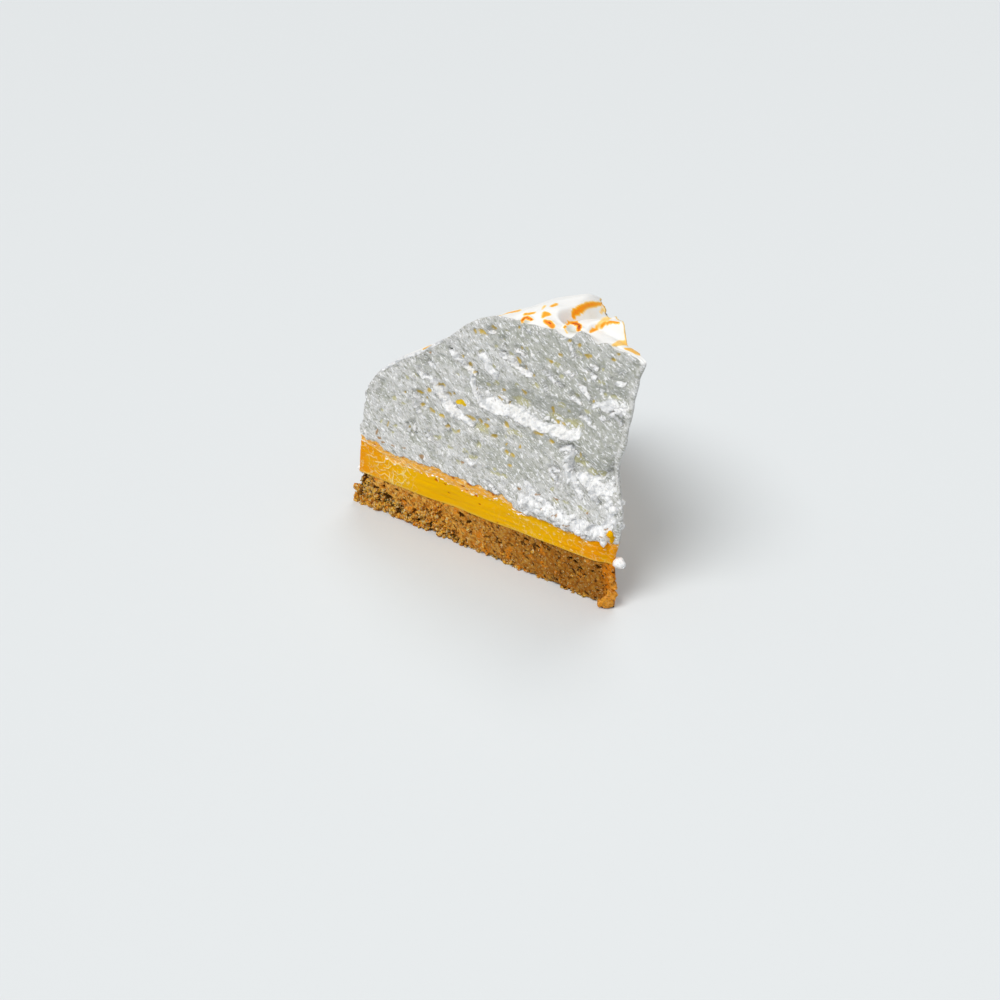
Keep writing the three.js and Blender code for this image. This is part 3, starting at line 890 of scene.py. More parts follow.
def makeFilling():
    shares, faces = closedBlock(fillingCells)
    placed = intoSlice(
        shares,
        lambda distance, across: crustTop(distance) + pie["seam"],
        fillingRoof,
        [fillingRelief, fillingRelief, lambda run, height: 0.4 * rollingNoise(spotsAt(run, height), 8, 53)],
    )
    distance, height = placed["distance"], placed["height"]
    spots = spotsAt(distance, height, placed["across"] * 60)
    ragged = rollingOctaves(spots, [7, 3, 7], 57, 3)
    jagged = 0.18 * rollingNoise(spots, 0.9, 59)
    marks = {
        "underFoam": bandShare(distance, height),
        # Where the net of painted highlights lies, the sheen on the wet cut's wrinkles.
        "crackle": ease(distance + 3 * ragged, 86, 92) + 0.6 * (1 - ease(distance + 3 * ragged, 30, 60)),
        "ends": np.clip(ease(distance, 92, 114) + 1 - ease(distance, 8, 34), 0, 1),
        "low": 1 - ease(height - crustTop(distance) + 0.3 * ragged, 0.1, 1.0),
        # The pale lines, painted highlights of the sheen on the wet wrinkles.
        "line": hill(besideLines(fillingCut["lines"], distance, height) + jagged, 0, 0.32),
        "fleck": stained(fillingCut["flecks"], distance + jagged, height + jagged),
        "spot": stained(fillingCut["spots"], distance + 2 * jagged, height + jagged),
    }
    return meshObject("set_filling", placed["points"], faces, marks)


# Crumb base

crustCells = [330, 24, 52]
# Cells of crumb, coarse to fine: [size, depth, how many times as deep where the crumb is loose]
crumbCells = [[[3.8, 2.6, 3.6], 0.55, 2.2], [[2.0, 1.4, 1.9], 0.5, 1.7], [[1.0, 0.8, 1.0], 0.4, 1.2]]
crumbShape = {
    "push": 0.5,
    "pushSize": 2.4,
    "finePush": 0.25,
    "finePushSize": 0.9,
    "gapWidth": 0.2,  # of a cell
    "slope": 0.3,
    "gapDepths": [0.1, 0.5],  # compact and loose
    "gapMarks": [0.18, 1.15],
    "tornDepth": 1.3,
}
looseShape = {
    "patchy": 1.6,
    "patchSize": [7, 4, 5],
    "patchyFrom": [50, 70],  # distances over which its border gets patchy, as the next for the rim
    "rimFrom": [108, 114],
    "soft": 0.8,
}
# Dark gaps torn in the cut by [distance, height], sunk and painted in shade, chunks that stand out
# of it as lumps do, and how high the loose crumb reaches by distance.
crumbCut = {
    "gaps": {
        "thin": [
            [113.2, 9], [105.4, 0.7], [97.1, 11.5], [90.7, 11.7], [91.3, 2.9], [78.9, 7.9], [68.6, 8.9],
            [62.7, 10.6], [66.4, 1], [55.4, 7.7], [44.7, 8.3], [38.2, 12.8], [29.6, 13.4], [20.8, 13.1],
            [16.8, 10.6], [9.6, 13.5], [33.5, 11.8], [49.6, 7.4], [87.5, 6.4], [100.6, 7.2],
        ],
        "small": [
            [106.4, 5.2], [103.6, 10.8], [93.3, 8.4], [70.1, 2.2], [18.6, 12.1], [11.6, 11.1], [97.6, 3.4],
        ],
        "round": [[76.9, 10], [66.6, 12.3], [83.6, 3.6]],
    },
    "chunks": [
        [98.4, 4.6, 3.2, 1.8, 1.2], [82, 2.6, 3.6, 1.7, 1.3], [110.5, 4, 2.4, 2, 1.0],
        [90, 5.4, 2.2, 1.4, 0.9], [68.6, 11, 2, 1.2, 0.7], [63.8, 9.6, 1.2, 1.6, 0.8],
    ],
    "looseUpTo": [
        [0, 0.8], [45, 0.9], [63, 1.3], [67.2, 2.3], [70.7, 3.6], [74.5, 4.4], [80.4, 4.6], [90, 6.4],
        [104, 8], [116, 10],
    ],
}


# Pressed crumb: ragged cells of three sizes. Each cell stands out by its own amount, over a gap,
# and slopes a little, more so where the crumb is loose. On a cut there are gaps and chunks too. The
# second result marks the gaps, which are painted in shade.
def crumbRelief(run, height, seed, loose, cut=True):
    shape = crumbShape
    spots = spotsAt(run, height, seed)
    push = shape["push"] * rollingNoise(spots, shape["pushSize"], seed + 31)
    finePush = shape["finePush"] * rollingNoise(spots, shape["finePushSize"], seed + 33)
    spots = spots + push[:, None] + finePush[:, None]
    relief = 0
    gaps = 0
    for number, (size, depth, looser) in enumerate(crumbCells):
        near, second, owner = scatteredCells(spots, np.array(size), seed + 5 * number)
        gap = 1 - ease(second - near, 0, shape["gapWidth"])
        outwards = (owner - 0.5) * (1 - gap) - shape["slope"] * near - lerp(*shape["gapDepths"], loose) * gap
        relief = relief + depth * lerp(0.4, looser, loose) * outwards
        gaps = gaps + gap * (1.2 - owner) * (0.7 - 0.15 * number)
    gaps = np.clip(gaps * lerp(*shape["gapMarks"], loose), 0, 1)
    if cut:
        torn = stained(crumbCut["gaps"], spots[:, 0], spots[:, 1])
        relief = relief - shape["tornDepth"] * torn + lumpRelief(crumbCut["chunks"], run, height)
        gaps = np.maximum(gaps, torn)
    return relief, gaps


# Loose crumb: along the foot, higher towards the rim, and at the rim.
def looseness(distance, height):
    shape = looseShape
    patchy = shape["patchy"] * rollingOctaves(spotsAt(distance, height), shape["patchSize"], 97, 2)
    border = straightLine(crumbCut["looseUpTo"], distance)
    ragged = height + patchy * ease(distance, *shape["patchyFrom"])
    foot = 1 - ease(ragged, border - shape["soft"], border + shape["soft"])
    return np.clip(np.maximum(foot, ease(distance + patchy, *shape["rimFrom"])), 0, 1)


def makeCrust():
    shares, faces = closedBlock(crustCells)
    sides = [
        lambda distance, height: crumbRelief(distance, height, 101, looseness(distance, height)),
        lambda distance, height: crumbRelief(distance, height, 151, looseness(distance, height)),
        lambda run, height: crumbRelief(run, height, 201, np.full_like(run, 0.8), False),
    ]
    placed = intoSlice(
        shares,
        lambda distance, across: np.zeros_like(distance),
        lambda distance, across: crustTop(distance),
        [lambda place, height, side=side: side(place, height)[0] for side in sides],
    )
    distance, across, height = placed["distance"], placed["across"], placed["height"]
    onRim = (shares[:, 0] == 0) & (shares[:, 1] > 0) & (shares[:, 1] < 1)
    gaps = (shares[:, 1] == 0) * sides[0](distance, height)[1]
    gaps = gaps + (shares[:, 1] == 1) * sides[1](distance, height)[1]
    gaps = gaps + onRim * sides[2](across * pie["radius"] * sliceAngle, height)[1]
    loose = np.where(onRim, 0.8, looseness(distance, height))
    tip = 1 - ease(distance + 1.6 * rollingNoise(placed["points"], 2.5, 211), 5.5, 9.5)
    # The gaps are painted in shade.
    marks = {"loose": loose, "gap": gaps, "tip": tip, "baked": 1 - ease(distance, 20, 95)}
    return meshObject("pressed_crumb", placed["points"], faces, marks)


# Loose crumbs: lumps of a coarse ball's faces, pushed uneven by noise, half sunk in the sides. The
# powers gather them low and towards the rim, and make most of them small.
crumbs = {
    "count": 420,
    "smallest": 0.4,
    "largest": 1.7,
    "seed": 4,
    "onSides": [0.5, 0.25, 0.25],  # share on the front cut, the back cut and the rim
    "lowPower": 2.4,
    "farPower": 0.45,
    "sizePower": 2.6,
    "sunk": 0.1,
}


# The corners and triangles of a ball: an icosahedron's faces split once, on a unit sphere.
def ballMesh():
    golden = (1 + 5 ** 0.5) / 2
    corners = [
        [side * (1 - 2 * flip) for side, flip in zip(place, flips)]
        for place in ((0, 1, golden), (1, golden, 0), (golden, 0, 1))
        for flips in np.ndindex(2, 2, 2)
    ]
    corners = np.unique(np.round(np.array(corners, float), 9) + 0.0, axis=0)
    corners /= np.linalg.norm(corners, axis=1)[:, None]
    apart = np.linalg.norm(corners[:, None] - corners, axis=2)
    edge = np.unique(np.round(apart, 6))[1]
    near = np.abs(apart - edge) < 1e-4
    triangles = np.array([
        (a, b, c) for a in range(12) for b in range(a + 1, 12) for c in range(b + 1, 12)
        if near[a, b] and near[b, c] and near[a, c]
    ])
    a, b, c = (corners[triangles[:, k]] for k in range(3))
    inward = np.einsum("ij,ij->i", np.cross(b - a, c - a), a) < 0
    triangles[inward] = triangles[inward][:, ::-1]
    pairs = np.concatenate([triangles[:, ends] for ends in ([0, 1], [1, 2], [2, 0])])
    pairs, which = np.unique(np.sort(pairs, axis=1), axis=0, return_inverse=True)
    middles = corners[pairs].mean(axis=1)
    middles /= np.linalg.norm(middles, axis=1)[:, None]
    ab, bc, ca = which.reshape(3, -1) + len(corners)
    a, b, c = triangles.T
    split = [np.stack(three, 1) for three in ((a, ab, ca), (ab, b, bc), (ca, bc, c), (ab, bc, ca))]
    return np.concatenate([corners, middles]), np.concatenate(split)


# Many lumps in one mesh: each ball is scaled, squashed, roughened by noise and set at its centre.
def lumpCloud(name, centres, radii, roughness, seed, marks=None, smooth=True):
    ball, triangles = ballMesh()
    draws = np.random.default_rng(seed)
    squash = draws.uniform(0.7, 1.25, (len(centres), 1, 3))
    points = ball[None] * squash * radii[:, None, None]
    spots = (ball[None] * 1.3 + draws.uniform(0, 90, (len(centres), 1, 3))).reshape(-1, 3)
    swelling = rollingNoise(spots, 0.9, seed).reshape(len(centres), -1, 1)
    rough = roughness * np.clip(1.1 / radii, 0.3, 1)[:, None, None] * swelling
    points = points * (1 + rough) + centres[:, None]
    faces = triangles[None] + (np.arange(len(centres)) * len(ball))[:, None, None]
    spread = {mark: np.repeat(values, len(ball)) for mark, values in (marks or {}).items()}
    return meshObject(name, points.reshape(-1, 3), faces.reshape(-1, 3), spread, smooth)


# Where points at a distance and height on a cut of the meringue lie, standing out by a little.
def onCut(side, distance, height, out):
    face = (frontTear, backTear)[side]
    reach = (distance - pie["bluntTip"]) / (pie["radius"] - pie["bluntTip"])
    across = np.full_like(distance, float(side))
    low, high = meringueFloor(distance, across), domeHeight(distance, across)
    shares = np.stack([1 - reach ** (1 / pie["crowding"]), across, (height - low) / (high - low)], axis=1)
    relief = lambda distance, height: tornFoam(face, distance, height)[0] + out
    return intoSlice(shares, meringueFloor, domeHeight, [relief, relief, rimFoam])["points"]


# Crumbs set one by one: [x, y, z, radius]
chosenCrumbs = [
    [54.8, -2.3, 2.1, 1.9], [53.6, -3.6, 1.7, 1.2], [55.4, -1.0, 5.2, 1.5], [55.6, -0.4, 8.6, 1.4],
    [55.4, -1.6, 11.6, 1.3],
]


def makeCrumbs():
    draws = np.random.default_rng(crumbs["seed"])
    count = crumbs["count"]
    side = draws.choice(3, count, p=crumbs["onSides"])
    low = draws.uniform(0, 1, count) ** crumbs["lowPower"]
    far = draws.uniform(0, 1, count) ** crumbs["farPower"]
    size = draws.uniform(0, 1, count) ** crumbs["sizePower"] * lerp(0.35, 1, ease(far, 0.35, 0.75))
    radii = lerp(crumbs["smallest"], crumbs["largest"], size)
    across = np.select([side == 0, side == 1], [0.0, 1.0], draws.uniform(0, 1, count))
    along = np.where(side == 2, 0.0, 1 - far)
    shares = np.stack([along, across, low], axis=1)
    foot = radii * 0.75
    points = intoSlice(
        shares,
        lambda distance, across: foot,
        lambda distance, across: foot + 0.8 * (crustTop(distance) - foot),
        [lambda place, height: np.full_like(place, -crumbs["sunk"])] * 3,
        crowding=1,
    )["points"]
    chosen = np.array(chosenCrumbs)
    points, radii = np.concatenate([points, chosen[:, :3]]), np.concatenate([radii, chosen[:, 3]])
    shade = np.concatenate([draws.uniform(0, 1, count), np.full(len(chosen), 1.6)])
    thing = lumpCloud("loose_crumbs", points, radii, 0.9, 5, {"shade": shade}, smooth=False)
    coords = np.zeros(len(thing.data.vertices) * 3, np.float32)
    thing.data.vertices.foreach_get("co", coords)
    coords[2::3] = np.maximum(coords[2::3], 0)
    thing.data.vertices.foreach_set("co", coords)
    return thing


# Tufts of torn foam, scattered along lines on the cut faces: [side, clings, from, to, count, spread,
# radii], where from and to are [distance, height]. Where a line clings, heights count from the
# filling's roof.
tuftRows = [
    [0, False, [60, 60.4], [20, 58.6], 70, 0.8, [0.4, 1.1]],
    [0, False, [79, 58.6], [67, 50.8], 20, 0.6, [0.35, 0.7]],
    [0, True, [44, 4.6], [30, 4.0], 14, 1.8, [0.5, 1.5]],
    [0, True, [30, 3.4], [7, 3.4], 28, 1.8, [0.5, 1.5]],
    [0, True, [46, 0.9], [8, 0.9], 34, 0.4, [0.5, 1.0]],
    [0, False, [20, 44.6], [5, 42.4], 22, 1.2, [0.5, 1.3]],
    [0, False, [23, 52], [19, 41], 22, 0.7, [0.4, 0.9]],
    [0, False, [8, 40], [6, 26], 18, 1.4, [0.7, 1.7]],
    [0, False, [14, 72.4], [6, 71.5], 14, 0.8, [0.4, 1.0]],
    [1, False, [36, 65.5], [72, 61.5], 60, 1.2, [0.45, 1.0]],
    [1, False, [16, 49.5], [44, 46.5], 40, 1.0, [0.45, 1.0]],
    [1, False, [60, 46.5], [92, 43.5], 40, 1.0, [0.45, 1.0]],
    [1, True, [8, 2.4], [112, 1.6], 120, 1.2, [0.5, 1.3]],
]
# Lumps on the tip and rim: [x, y, z, radius]
chosenTufts = [
    [55.0, 1.4, 16.4, 2.1], [54.6, 0.4, 30.5, 1.7], [54.6, 0.4, 34.2, 1.4], [53.6, 1.2, 38.5, 1.3],
    [-47.2, -42.5, 13.8, 1.2], [-47.9, -41.2, 12.6, 1.3],
]
tufts = {"seed": 12, "sunk": 0.6, "radiusPower": 1.8, "roughness": 0.55}


def makeTufts():
    draws = np.random.default_rng(tufts["seed"])
    points, radii = [], []
    for side, clings, start, end, count, spread, (smallest, largest) in tuftRows:
        share = draws.uniform(0, 1, count)
        distance = lerp(start[0], end[0], share) + draws.normal(0, spread * 0.6, count)
        distance = np.clip(distance, pie["bluntTip"] + 0.1, pie["radius"] - 0.5)
        height = lerp(start[1], end[1], share) + draws.normal(0, spread, count)
        if clings:
            height = height + fillingRoof(distance, np.full(count, float(side)))
        points.append(onCut(side, distance, height, -tufts["sunk"]))
        radii.append(lerp(smallest, largest, draws.uniform(0, 1, count) ** tufts["radiusPower"]))
    chosen = np.array(chosenTufts)
    points, radii = np.concatenate(points + [chosen[:, :3]]), np.concatenate(radii + [chosen[:, 3]])
    return lumpCloud("foam_tufts", points, radii, tufts["roughness"], 21)


# Blobs of filling dragged into the foam: [distance, height, radius] on the front cut
curdBlobs = [[6.4, 28.3, 1.3], [5.9, 27.2, 1.3], [5.6, 25.9, 1.0]]


def makeCurdBlobs():
    distance, height, radii = np.array(curdBlobs).T
    points = onCut(0, distance, height, 0.2)
    marks = {name: np.zeros(len(radii)) for name in ("underFoam", "crackle", "low", "line", "fleck", "spot")}
    marks["ends"] = np.full(len(radii), 0.15)
    return lumpCloud("dragged_filling", points, radii, 0.3, 31, marks)


# Materials

# A socket in a node tree, on which arithmetic adds Math nodes.
class Socket:
    def __init__(self, tree, socket):
        self.tree = tree
        self.socket = socket

    def math(self, operation, first, second):
        node = self.tree.nodes.new("ShaderNodeMath")
        node.operation = operation
        for place, value in enumerate((first, second)):
            if isinstance(value, Socket):
                self.tree.links.new(value.socket, node.inputs[place])
            else:
                node.inputs[place].default_value = value
        return Socket(self.tree, node.outputs[0])

    def __add__(self, other):
        return self.math("ADD", self, other)

    def __sub__(self, other):
        return self.math("SUBTRACT", self, other)

    def __mul__(self, other):
        return self.math("MULTIPLY", self, other)

    def __radd__(self, other):
        return self.math("ADD", other, self)

    def __rsub__(self, other):
        return self.math("SUBTRACT", other, self)

    def __rmul__(self, other):
        return self.math("MULTIPLY", other, self)


# A material under construction: add makes any node, settings first and then its sockets. colour is
# the colour so far, which starts as one of the look's.
class Finish:
    def __init__(self, name, look=None, first=None):
        self.material = bpy.data.materials.new(name)
        self.material.use_nodes = True
        self.tree = self.material.node_tree
        self.tree.nodes.clear()
        self.look = look
        self.colour = look[first] if look else None

    def add(self, kind, settings=None, inputs=None, output=0):
        node = self.tree.nodes.new(kind)
        for key, value in (settings or {}).items():
            if key == "stops":
                ramp = node.color_ramp
                while len(ramp.elements) < len(value):
                    ramp.elements.new(0.5)
                for element, (place, colour) in zip(ramp.elements, value):
                    element.position = place
                    element.color = (*colour, 1)
            else:
                setattr(node, key, value)
        for key, value in (inputs or {}).items():
            if isinstance(value, Socket):
                self.tree.links.new(value.socket, node.inputs[key])
            else:
                node.inputs[key].default_value = value
        return Socket(self.tree, node.outputs[output]) if len(node.outputs) else None

    def mark(self, name):
        return self.add("ShaderNodeAttribute", {"attribute_name": name}, output="Fac")

    def place(self):
        return self.add("ShaderNodeTexCoord", output="Object")

    # Coordinates along a direction that slants down the front cut by so many degrees, across it
    # and into the cut, each stretched.
    def slanted(self, slant, stretch=(1, 1, 1)):
        slant = math.radians(slant)
        outwards = np.array([math.cos(frontAngle), math.sin(frontAngle), 0])
        up = np.array([0, 0, 1])
        directions = {
            "X": -outwards * math.cos(slant) - up * math.sin(slant),
            "Y": -outwards * math.sin(slant) + up * math.cos(slant),
            "Z": frontNormal,
        }
        return self.add("ShaderNodeCombineXYZ", None, {
            axis: self.add("ShaderNodeVectorMath", {"operation": "DOT_PRODUCT"}, {
                0: self.place(), 1: tuple(direction * scale),
            }, "Value")
            for (axis, direction), scale in zip(directions.items(), stretch)
        })

    def noise(self, size, detail=3.0, roughness=0.55, vector=None):
        return self.add("ShaderNodeTexNoise", None, {
            "Vector": vector or self.place(), "Scale": 1 / (size * metresPerMillimetre),
            "Detail": detail, "Roughness": roughness,
        })

    def cellEdges(self, size, vector):
        return self.add("ShaderNodeTexVoronoi", {"feature": "DISTANCE_TO_EDGE"}, {
            "Vector": vector, "Scale": 1 / (size * metresPerMillimetre),
        }, "Distance")

    def smooth(self, value, start, end):
        return self.add("ShaderNodeMapRange", {"interpolation_type": "SMOOTHSTEP"}, {
            "Value": value, "From Min": start, "From Max": end,
        })

    def mix(self, share, first, second):
        colours = [c if isinstance(c, Socket) else (*c, 1) for c in (first, second)]
        return self.add("ShaderNodeMix", {"data_type": "RGBA"}, {0: share, 6: colours[0], 7: colours[1]}, 2)

    # Lays one of the look's colours over the colour so far, by a share.
    def lay(self, share, name):
        self.colour = self.mix(share, self.colour, self.look[name])

    def bump(self, height, distance, strength=1.0):
        return self.add("ShaderNodeBump", None, {
            "Height": height, "Distance": distance * metresPerMillimetre, "Strength": strength,
        })

    def finish(self, inputs):
        shader = self.add("ShaderNodeBsdfPrincipled", None, {"Base Color": self.colour, **inputs})
        self.add("ShaderNodeOutputMaterial", None, {"Surface": shader})
        return self.material


def fromHex(text):  # a screen colour such as c8a050 as light amounts
    parts = [int(text[k:k + 2], 16) / 255 for k in (0, 2, 4)]
    return tuple(p / 12.92 if p <= 0.04045 else ((p + 0.055) / 1.055) ** 2.4 for p in parts)


def coloursOf(texts):
    return {name: fromHex(text) for name, text in texts.items()}


# Painted light among these: the gap, dim, valley, hollow and crevice colours are painted shade, olive is
# partly painted shade, and white is partly a painted highlight.
meringueLook = coloursOf({
    "skin": "f2f2f0", "valley": "d7dee4", "hollow": "b4b8a6", "foam": "d9d9d7", "gap": "a3a499",
    "dim": "a3a698", "white": "ffffff", "crevice_shade": "bcc0c4", "olive": "c2be8c", "ochre": "cfb042",
    "curd": "f2c800", "rust": "a87a3c",
})
toastStops = [
    [0, "f2f2f0"], [0.18, "ffd884"], [0.38, "ffae08"], [0.62, "ff9000"], [0.8, "d86400"], [1, "782a06"],
]


# White foam of slanting fibres with crisp flecks and olive gaps, stained in places, with a smooth
# skin that browns on top. The gaps, dim patches, valleys, curl hollows and crevices are painted
# shade, the olive patches partly so, and the white of flecks, ledges and lips is partly a painted
# highlight. Tufts lack the marks of the cut faces and are white all over.
def meringueFinish(name, isTufts=False):
    finish = Finish(name, meringueLook, "foam")
    fibres = finish.slanted(foam["slant"], (0.42, 1, 1))
    grain = finish.noise(0.62, 3, 0.65, fibres)
    if isTufts:
        finish.lay(finish.smooth(grain, 0.3, 0.55), "white")
        return finish.finish({
            "Roughness": 0.7,
            "Subsurface Weight": 0.4,
            "Subsurface Radius": (1.0, 0.95, 0.88),
            "Subsurface Scale": 0.0012,
            "Specular IOR Level": 0.3,
            "Normal": finish.bump(grain, 0.4),
        })
    clumps = finish.noise(1.5, 3, 0.6, fibres)
    speckle = finish.noise(0.9, 3)
    crumpled = finish.noise(2.0, 3, 0.5)
    skin = finish.mark("skin")
    torn = 1 - skin
    # Painted highlights: crisp white flecks where the foam catches light.
    highlightFlecks = finish.smooth(finish.noise(0.65, 2, 0.6, fibres) + clumps * 0.25, 0.66, 0.73)
    # The white mark, partly a painted highlight on ledges, lips and flecks.
    whitened = finish.smooth(finish.mark("white") + grain * 0.7, 0.75, 1.05)
    # Painted shade: the gap colour darkens the foam's pores, picked out by noise.
    finish.lay(1 - finish.smooth(grain * 0.6 + clumps * 0.4, 0.38, 0.53), "gap")
    # Painted shade over the dim patches and pits.
    finish.lay(finish.mark("dim") * 0.5, "dim")
    # Olive: partly painted shade in hollows, partly the filling's tint through the foam.
    finish.lay(finish.smooth(finish.mark("olive") + speckle * 0.7, 0.5, 1.35) * 0.8, "olive")
    finish.lay(highlightFlecks * 0.95, "white")
    finish.lay(whitened, "white")
    # Painted shade in the creases between lumps of the white foam.
    finish.lay((1 - finish.smooth(crumpled, 0.38, 0.48)) * whitened * 0.55, "crevice_shade")
    finish.lay(finish.smooth(finish.mark("ochre") + speckle * 0.9, 0.7, 1.5) * 0.95, "ochre")
    finish.lay(finish.smooth(finish.mark("rust") + speckle * 0.8, 0.7, 1.3) * 0.8, "rust")
    finish.lay(finish.smooth(finish.mark("curd") + speckle * 0.4, 0.5, 0.7), "curd")
    finish.lay(skin, "skin")
    # Painted shade in the valleys between petals.
    finish.lay(finish.mark("valley") * 0.55, "valley")
    # Painted shade in the hollows of the curls.
    finish.lay(finish.mark("hollow") * 0.8, "hollow")
    toast = finish.mark("toast")
    browned = finish.add("ShaderNodeValToRGB", {
        "stops": [(place, fromHex(text)) for place, text in toastStops],
    }, {"Fac": toast * (0.62 + 0.8 * finish.noise(1.0, 3))}, "Color")
    finish.colour = finish.mix(finish.smooth(toast, 0.02, 0.12), finish.colour, browned)
    rough = (grain * 0.5 + clumps * 0.5 + highlightFlecks * 0.25 + whitened * crumpled * 1.1) * torn
    rough = rough + skin * 0.12 * finish.noise(2.5, 3)
    return finish.finish({
        "Roughness": 0.5 + 0.3 * torn,
        "Subsurface Weight": 0.25,
        "Subsurface Radius": (1.0, 0.95, 0.88),
        "Subsurface Scale": 0.0008,
        "Specular IOR Level": 0.35,
        "Normal": finish.bump(rough, 0.75),
    })


# The line colour is a painted highlight, the sheen on the wet cut's wrinkles along the pale lines and the
# net; it also colours the pale flecks.
fillingLook = coloursOf({
    "middle": "e4ac00", "ends": "e69400", "low": "dbb74c", "underFoam": "e8a846", "mottle": "f3d9b0",
    "spot": "ba600c", "line": "f4df9c", "white": "ffffff",
})


# Yellow set filling with level striations: orange towards its ends, a mottled peach band with
# white specks along its border under the foam, pale lines, and a fine net near the rim. The pale
# lines and the net are painted highlights of the sheen on its wet wrinkles.
def fillingFinish(name):
    finish = Finish(name, fillingLook, "middle")
    level = finish.slanted(0, (0.4, 1.2, 1))
    strips = finish.slanted(0, (0.12, 1.6, 1))
    finish.lay(finish.mark("ends") * finish.smooth(finish.noise(8, 2), 0.15, 0.5), "ends")
    finish.lay(finish.smooth(finish.noise(0.9, 3, 0.6, strips), 0.5, 0.75) * 0.35, "ends")
    finish.lay(finish.mark("low") * 0.6, "low")
    under = finish.mark("underFoam")
    layered = finish.noise(1.1, 3, 0.6, level)
    banded = finish.smooth(under + layered * 0.8, 0.7, 1.1)
    finish.lay(banded * 0.85, "underFoam")
    mottle = finish.smooth(finish.noise(0.8, 3, 0.65, level), 0.5, 0.62)
    finish.lay(mottle * banded * 0.8, "mottle")
    blotch = finish.smooth(finish.noise(1.9, 3, 0.6, level), 0.61, 0.69)
    finish.lay(blotch * banded * 0.45, "spot")
    finish.lay(finish.smooth(finish.mark("spot") + layered * 0.5, 0.6, 1.0) * 0.85, "spot")
    border = under * (1 - under) * 4
    specks = finish.smooth(finish.noise(0.9, 2, 0.5, level) + border * 0.12, 0.66, 0.72)
    finish.lay(specks * finish.smooth(border, 0.2, 0.7), "white")
    wobble = {"Vector": finish.place(), "Scale": 420.0, "Detail": 2.0}
    bent = finish.add("ShaderNodeVectorMath", {"operation": "MULTIPLY_ADD"}, {
        0: finish.add("ShaderNodeTexNoise", None, wobble, "Color"),
        1: (0.0022, 0.0022, 0.0022),
        2: finish.slanted(30, (0.9, 1.1, 0.9)),
    })
    broken = finish.smooth(finish.noise(1.8, 2), 0.44, 0.56)
    net = (1 - finish.smooth(finish.cellEdges(2.1, bent), 0.02, 0.09)) * broken * finish.mark("crackle")
    thin = finish.noise(0.8, 2)
    flecks = finish.smooth(finish.mark("fleck") + thin * 1.2, 0.9, 1.3)
    # Painted highlights: the net and the pale lines stand for the sheen on the wet wrinkles.
    finish.lay(net * 0.5, "line")
    finish.lay(finish.smooth(finish.mark("line") + thin * 0.5, 0.75, 1.1) * 0.65, "line")
    finish.lay(flecks * 0.6, "line")
    relief = layered * 0.2 + mottle * under * 0.3 + net * 0.3 + flecks * 0.3
    return finish.finish({
        "Roughness": 0.42 + 0.25 * under,
        "Subsurface Weight": 0.15,
        "Subsurface Radius": (1.0, 0.5, 0.05),
        "Subsurface Scale": 0.0008,
        "Specular IOR Level": 0.1,
        "Specular Tint": (1.0, 0.7, 0.1, 1.0),
        "Normal": finish.bump(relief, 0.35, 0.8),
    })


# The dark colour is painted shade in the crumb's gaps and pits.
crustLook = coloursOf({
    "body": "d88a28", "pale": "f0b652", "brown": "8c480a", "dark": "3a1803", "baked": "844a06",
    "amber": "e08412", "gold": "f8be48", "tipCrumb": "f4a030", "glint": "ffe4a4",
})


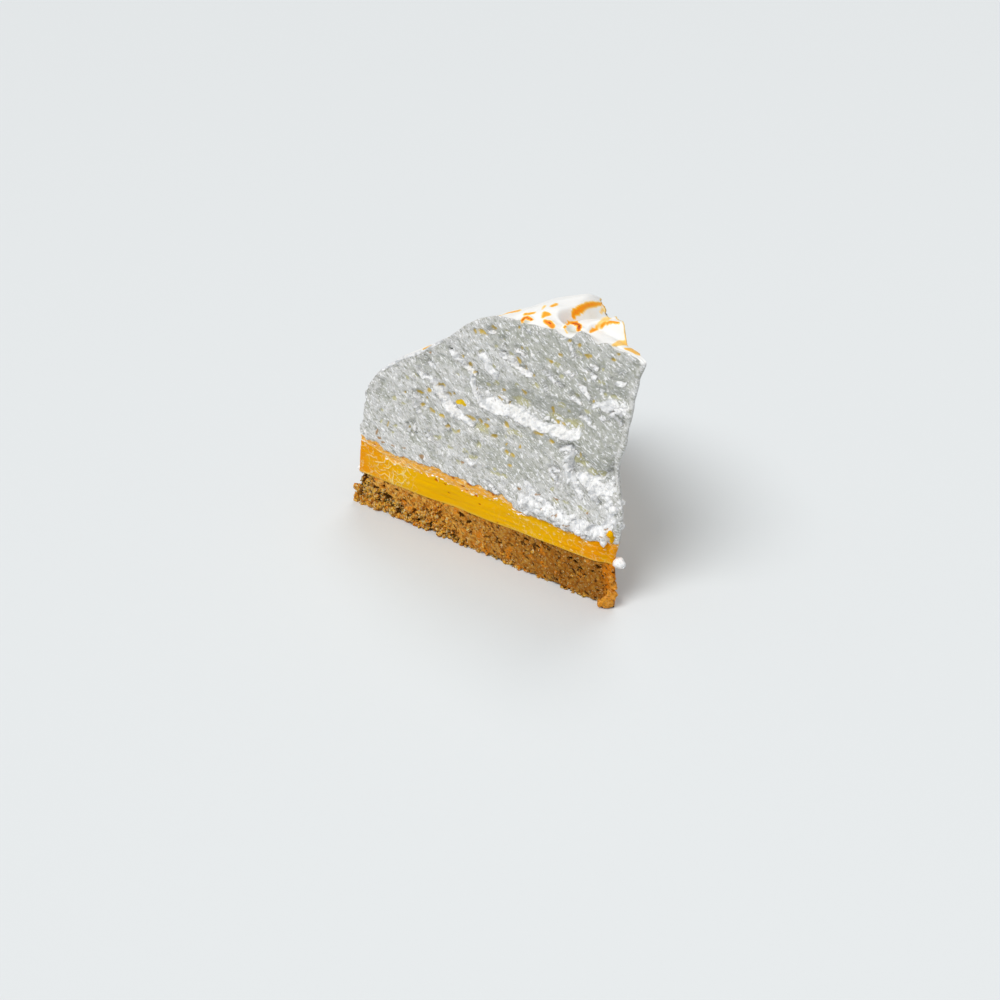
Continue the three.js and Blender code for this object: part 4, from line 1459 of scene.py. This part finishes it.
# Baked crumb: compact tan with slanting streaks, grains that each have their own shade, dark gaps
# and gold glints, darker towards the tip and golden where it is loose. The dark of the gaps and
# pits is painted shade.
def crustFinish(name, isCrumbs=False):
    finish = Finish(name, crustLook, "body")
    grains = {"Vector": finish.place(), "Scale": 1 / (0.9 * metresPerMillimetre)}
    shade = finish.add("ShaderNodeSeparateColor", None, {
        "Color": finish.add("ShaderNodeTexVoronoi", None, grains, "Color"),
    }, "Red")
    slope = finish.slanted(42, (0.6, 1.1, 1))
    fine = finish.noise(0.55, 3, 0.7, finish.slanted(42, (0.85, 1, 1)))
    streaks = finish.noise(1.2, 4, 0.65, slope)
    loose = finish.mark("shade" if isCrumbs else "loose")
    crumbly = finish.smooth(loose, 0, 0.8)
    finish.lay(finish.smooth(shade * 0.35 + streaks * 0.8, 0.44, 0.72), "pale")
    dark = 1 - finish.smooth(streaks * 0.5 + fine * 0.5, 0.43, 0.52)
    finish.lay(dark * (0.6 + 0.4 * crumbly), "brown")
    if isCrumbs:
        loose = 0.55 + 0.45 * loose
        # Painted shade in the crevices between the crumbs' grains.
        gaps = 1 - finish.smooth(fine, 0.32, 0.42)
    else:
        # Darker brown towards the tip.
        finish.lay(finish.mark("baked") * 0.72, "baked")
        pits = finish.smooth(finish.noise(1.1, 3, 0.7, slope), 0.55, 0.61)
        grainy = finish.smooth(finish.noise(3.2, 2), 0.4, 0.56)
        # Painted shade in the gaps and pits of the cut.
        gaps = finish.mark("gap") * 0.85 + pits * (0.35 + 0.5 * grainy) + fine * 0.9
        gaps = finish.smooth(gaps, 0.93, 1.18)
        finish.lay(finish.mark("tip") * 0.85, "amber")
    finish.lay(finish.smooth(finish.noise(4.0, 3) + loose * 0.2, 0.55, 0.68) * 0.75, "amber")
    finish.lay(finish.smooth(shade + loose * 0.7, 0.8, 1.4) * 0.9, "gold")
    finish.lay(gaps * 0.92, "dark")
    glints = finish.smooth(finish.noise(0.7, 3, 0.6) + loose * 0.06, 0.585, 0.635)
    if isCrumbs:
        atTip = finish.smooth(finish.mark("shade"), 1.2, 1.4)
        finish.lay(atTip * 0.85, "tipCrumb")
        glints = glints * (1 - 0.85 * atTip)
    finish.lay(glints * (0.5 + 0.45 * loose) * (1 - gaps), "glint")
    grainy = (fine * 0.8 + shade * 0.35) * (0.5 + 0.5 * crumbly)
    return finish.finish({
        "Roughness": 0.45 + 0.3 * fine,
        "Subsurface Weight": 0.05,
        "Subsurface Radius": (1.0, 0.5, 0.2),
        "Subsurface Scale": 0.0005,
        "Specular IOR Level": 0.18,
        "Specular Tint": (1.0, 0.75, 0.3, 1.0),
        "Normal": finish.bump(grainy + streaks * 0.4 + glints * 0.3 - gaps * 0.9, 1.0),
    })


# Making the pieces

dress(makeMeringue(), meringueFinish("torched_meringue"), "meringue")
dress(makeTufts(), meringueFinish("foam_tufts", isTufts=True), None)
print("stage: meringue made")

dress(makeFilling(), fillingFinish("set_filling"), "lime_filling")
dress(makeCurdBlobs(), fillingFinish("dragged_filling"), None)
print("stage: filling made")

dress(makeCrust(), crustFinish("pressed_crumb"), "crumb_base")
dress(makeCrumbs(), crustFinish("loose_crumbs", isCrumbs=True), None)
print("stage: crumb base made")


# Floor, lamps and camera

room = {
    "floorSize": 6000.0,
    "floorColour": fromHex("dee2e4"),
    "worldColour": (0.985, 0.99, 1.0),
    "worldStrength": 0.37,
}


def makeFloor():
    half = room["floorSize"] / 2
    corners = np.array([[-half, -half, 0], [half, -half, 0], [half, half, 0], [-half, half, 0]])
    floor = meshObject("floor", corners, np.array([[0, 1, 2, 3]]))
    finish = Finish("pale_floor")
    floor.data.materials.append(finish.finish({
        "Base Color": (*room["floorColour"], 1), "Roughness": 0.6, "Specular IOR Level": 0.2,
    }))


def makeWorld():
    world = bpy.data.worlds.new("studio")
    world.use_nodes = True
    background = world.node_tree.nodes["Background"]
    background.inputs["Color"].default_value = (*room["worldColour"], 1)
    background.inputs["Strength"].default_value = room["worldStrength"]
    bpy.context.scene.world = world


# Each lamp is a broad soft sun at a bearing and a height angle.
lamps = {
    "key": {"bearing": 125.0, "lift": 64.0, "spread": 25.0, "strength": 0.6, "tint": (1, 0.98, 0.95)},
    "fill": {"bearing": -75.0, "lift": 54.0, "spread": 30.0, "strength": 2.2, "tint": (1, 0.995, 0.985)},
}


def makeLamps():
    for name, lamp in lamps.items():
        bearing, lift = math.radians(lamp["bearing"]), math.radians(lamp["lift"])
        flat = math.cos(lift)
        away = Vector((math.cos(bearing) * flat, math.sin(bearing) * flat, math.sin(lift)))
        light = bpy.data.lights.new(name, "SUN")
        light.angle = math.radians(lamp["spread"])
        light.energy = lamp["strength"]
        light.color = lamp["tint"]
        thing = bpy.data.objects.new(name, light)
        thing.location = away
        thing.rotation_euler = away.to_track_quat("Z", "Y").to_euler()
        bpy.context.scene.collection.objects.link(thing)


def makeCamera():
    camera = bpy.data.cameras.new("camera")
    camera.lens = view["lens"]
    camera.sensor_width = view["sensor"]
    camera.clip_start = 0.01
    thing = bpy.data.objects.new("camera", camera)
    place = Vector(view["place"]) * metresPerMillimetre
    thing.matrix_world = Matrix.LocRotScale(place, cameraTurn().to_quaternion(), None)
    bpy.context.scene.collection.objects.link(thing)
    bpy.context.scene.camera = thing


makeFloor()
makeWorld()
makeLamps()
makeCamera()
bpy.context.scene.view_settings.view_transform = "Standard"
print("stage: floor, lamps and camera made")
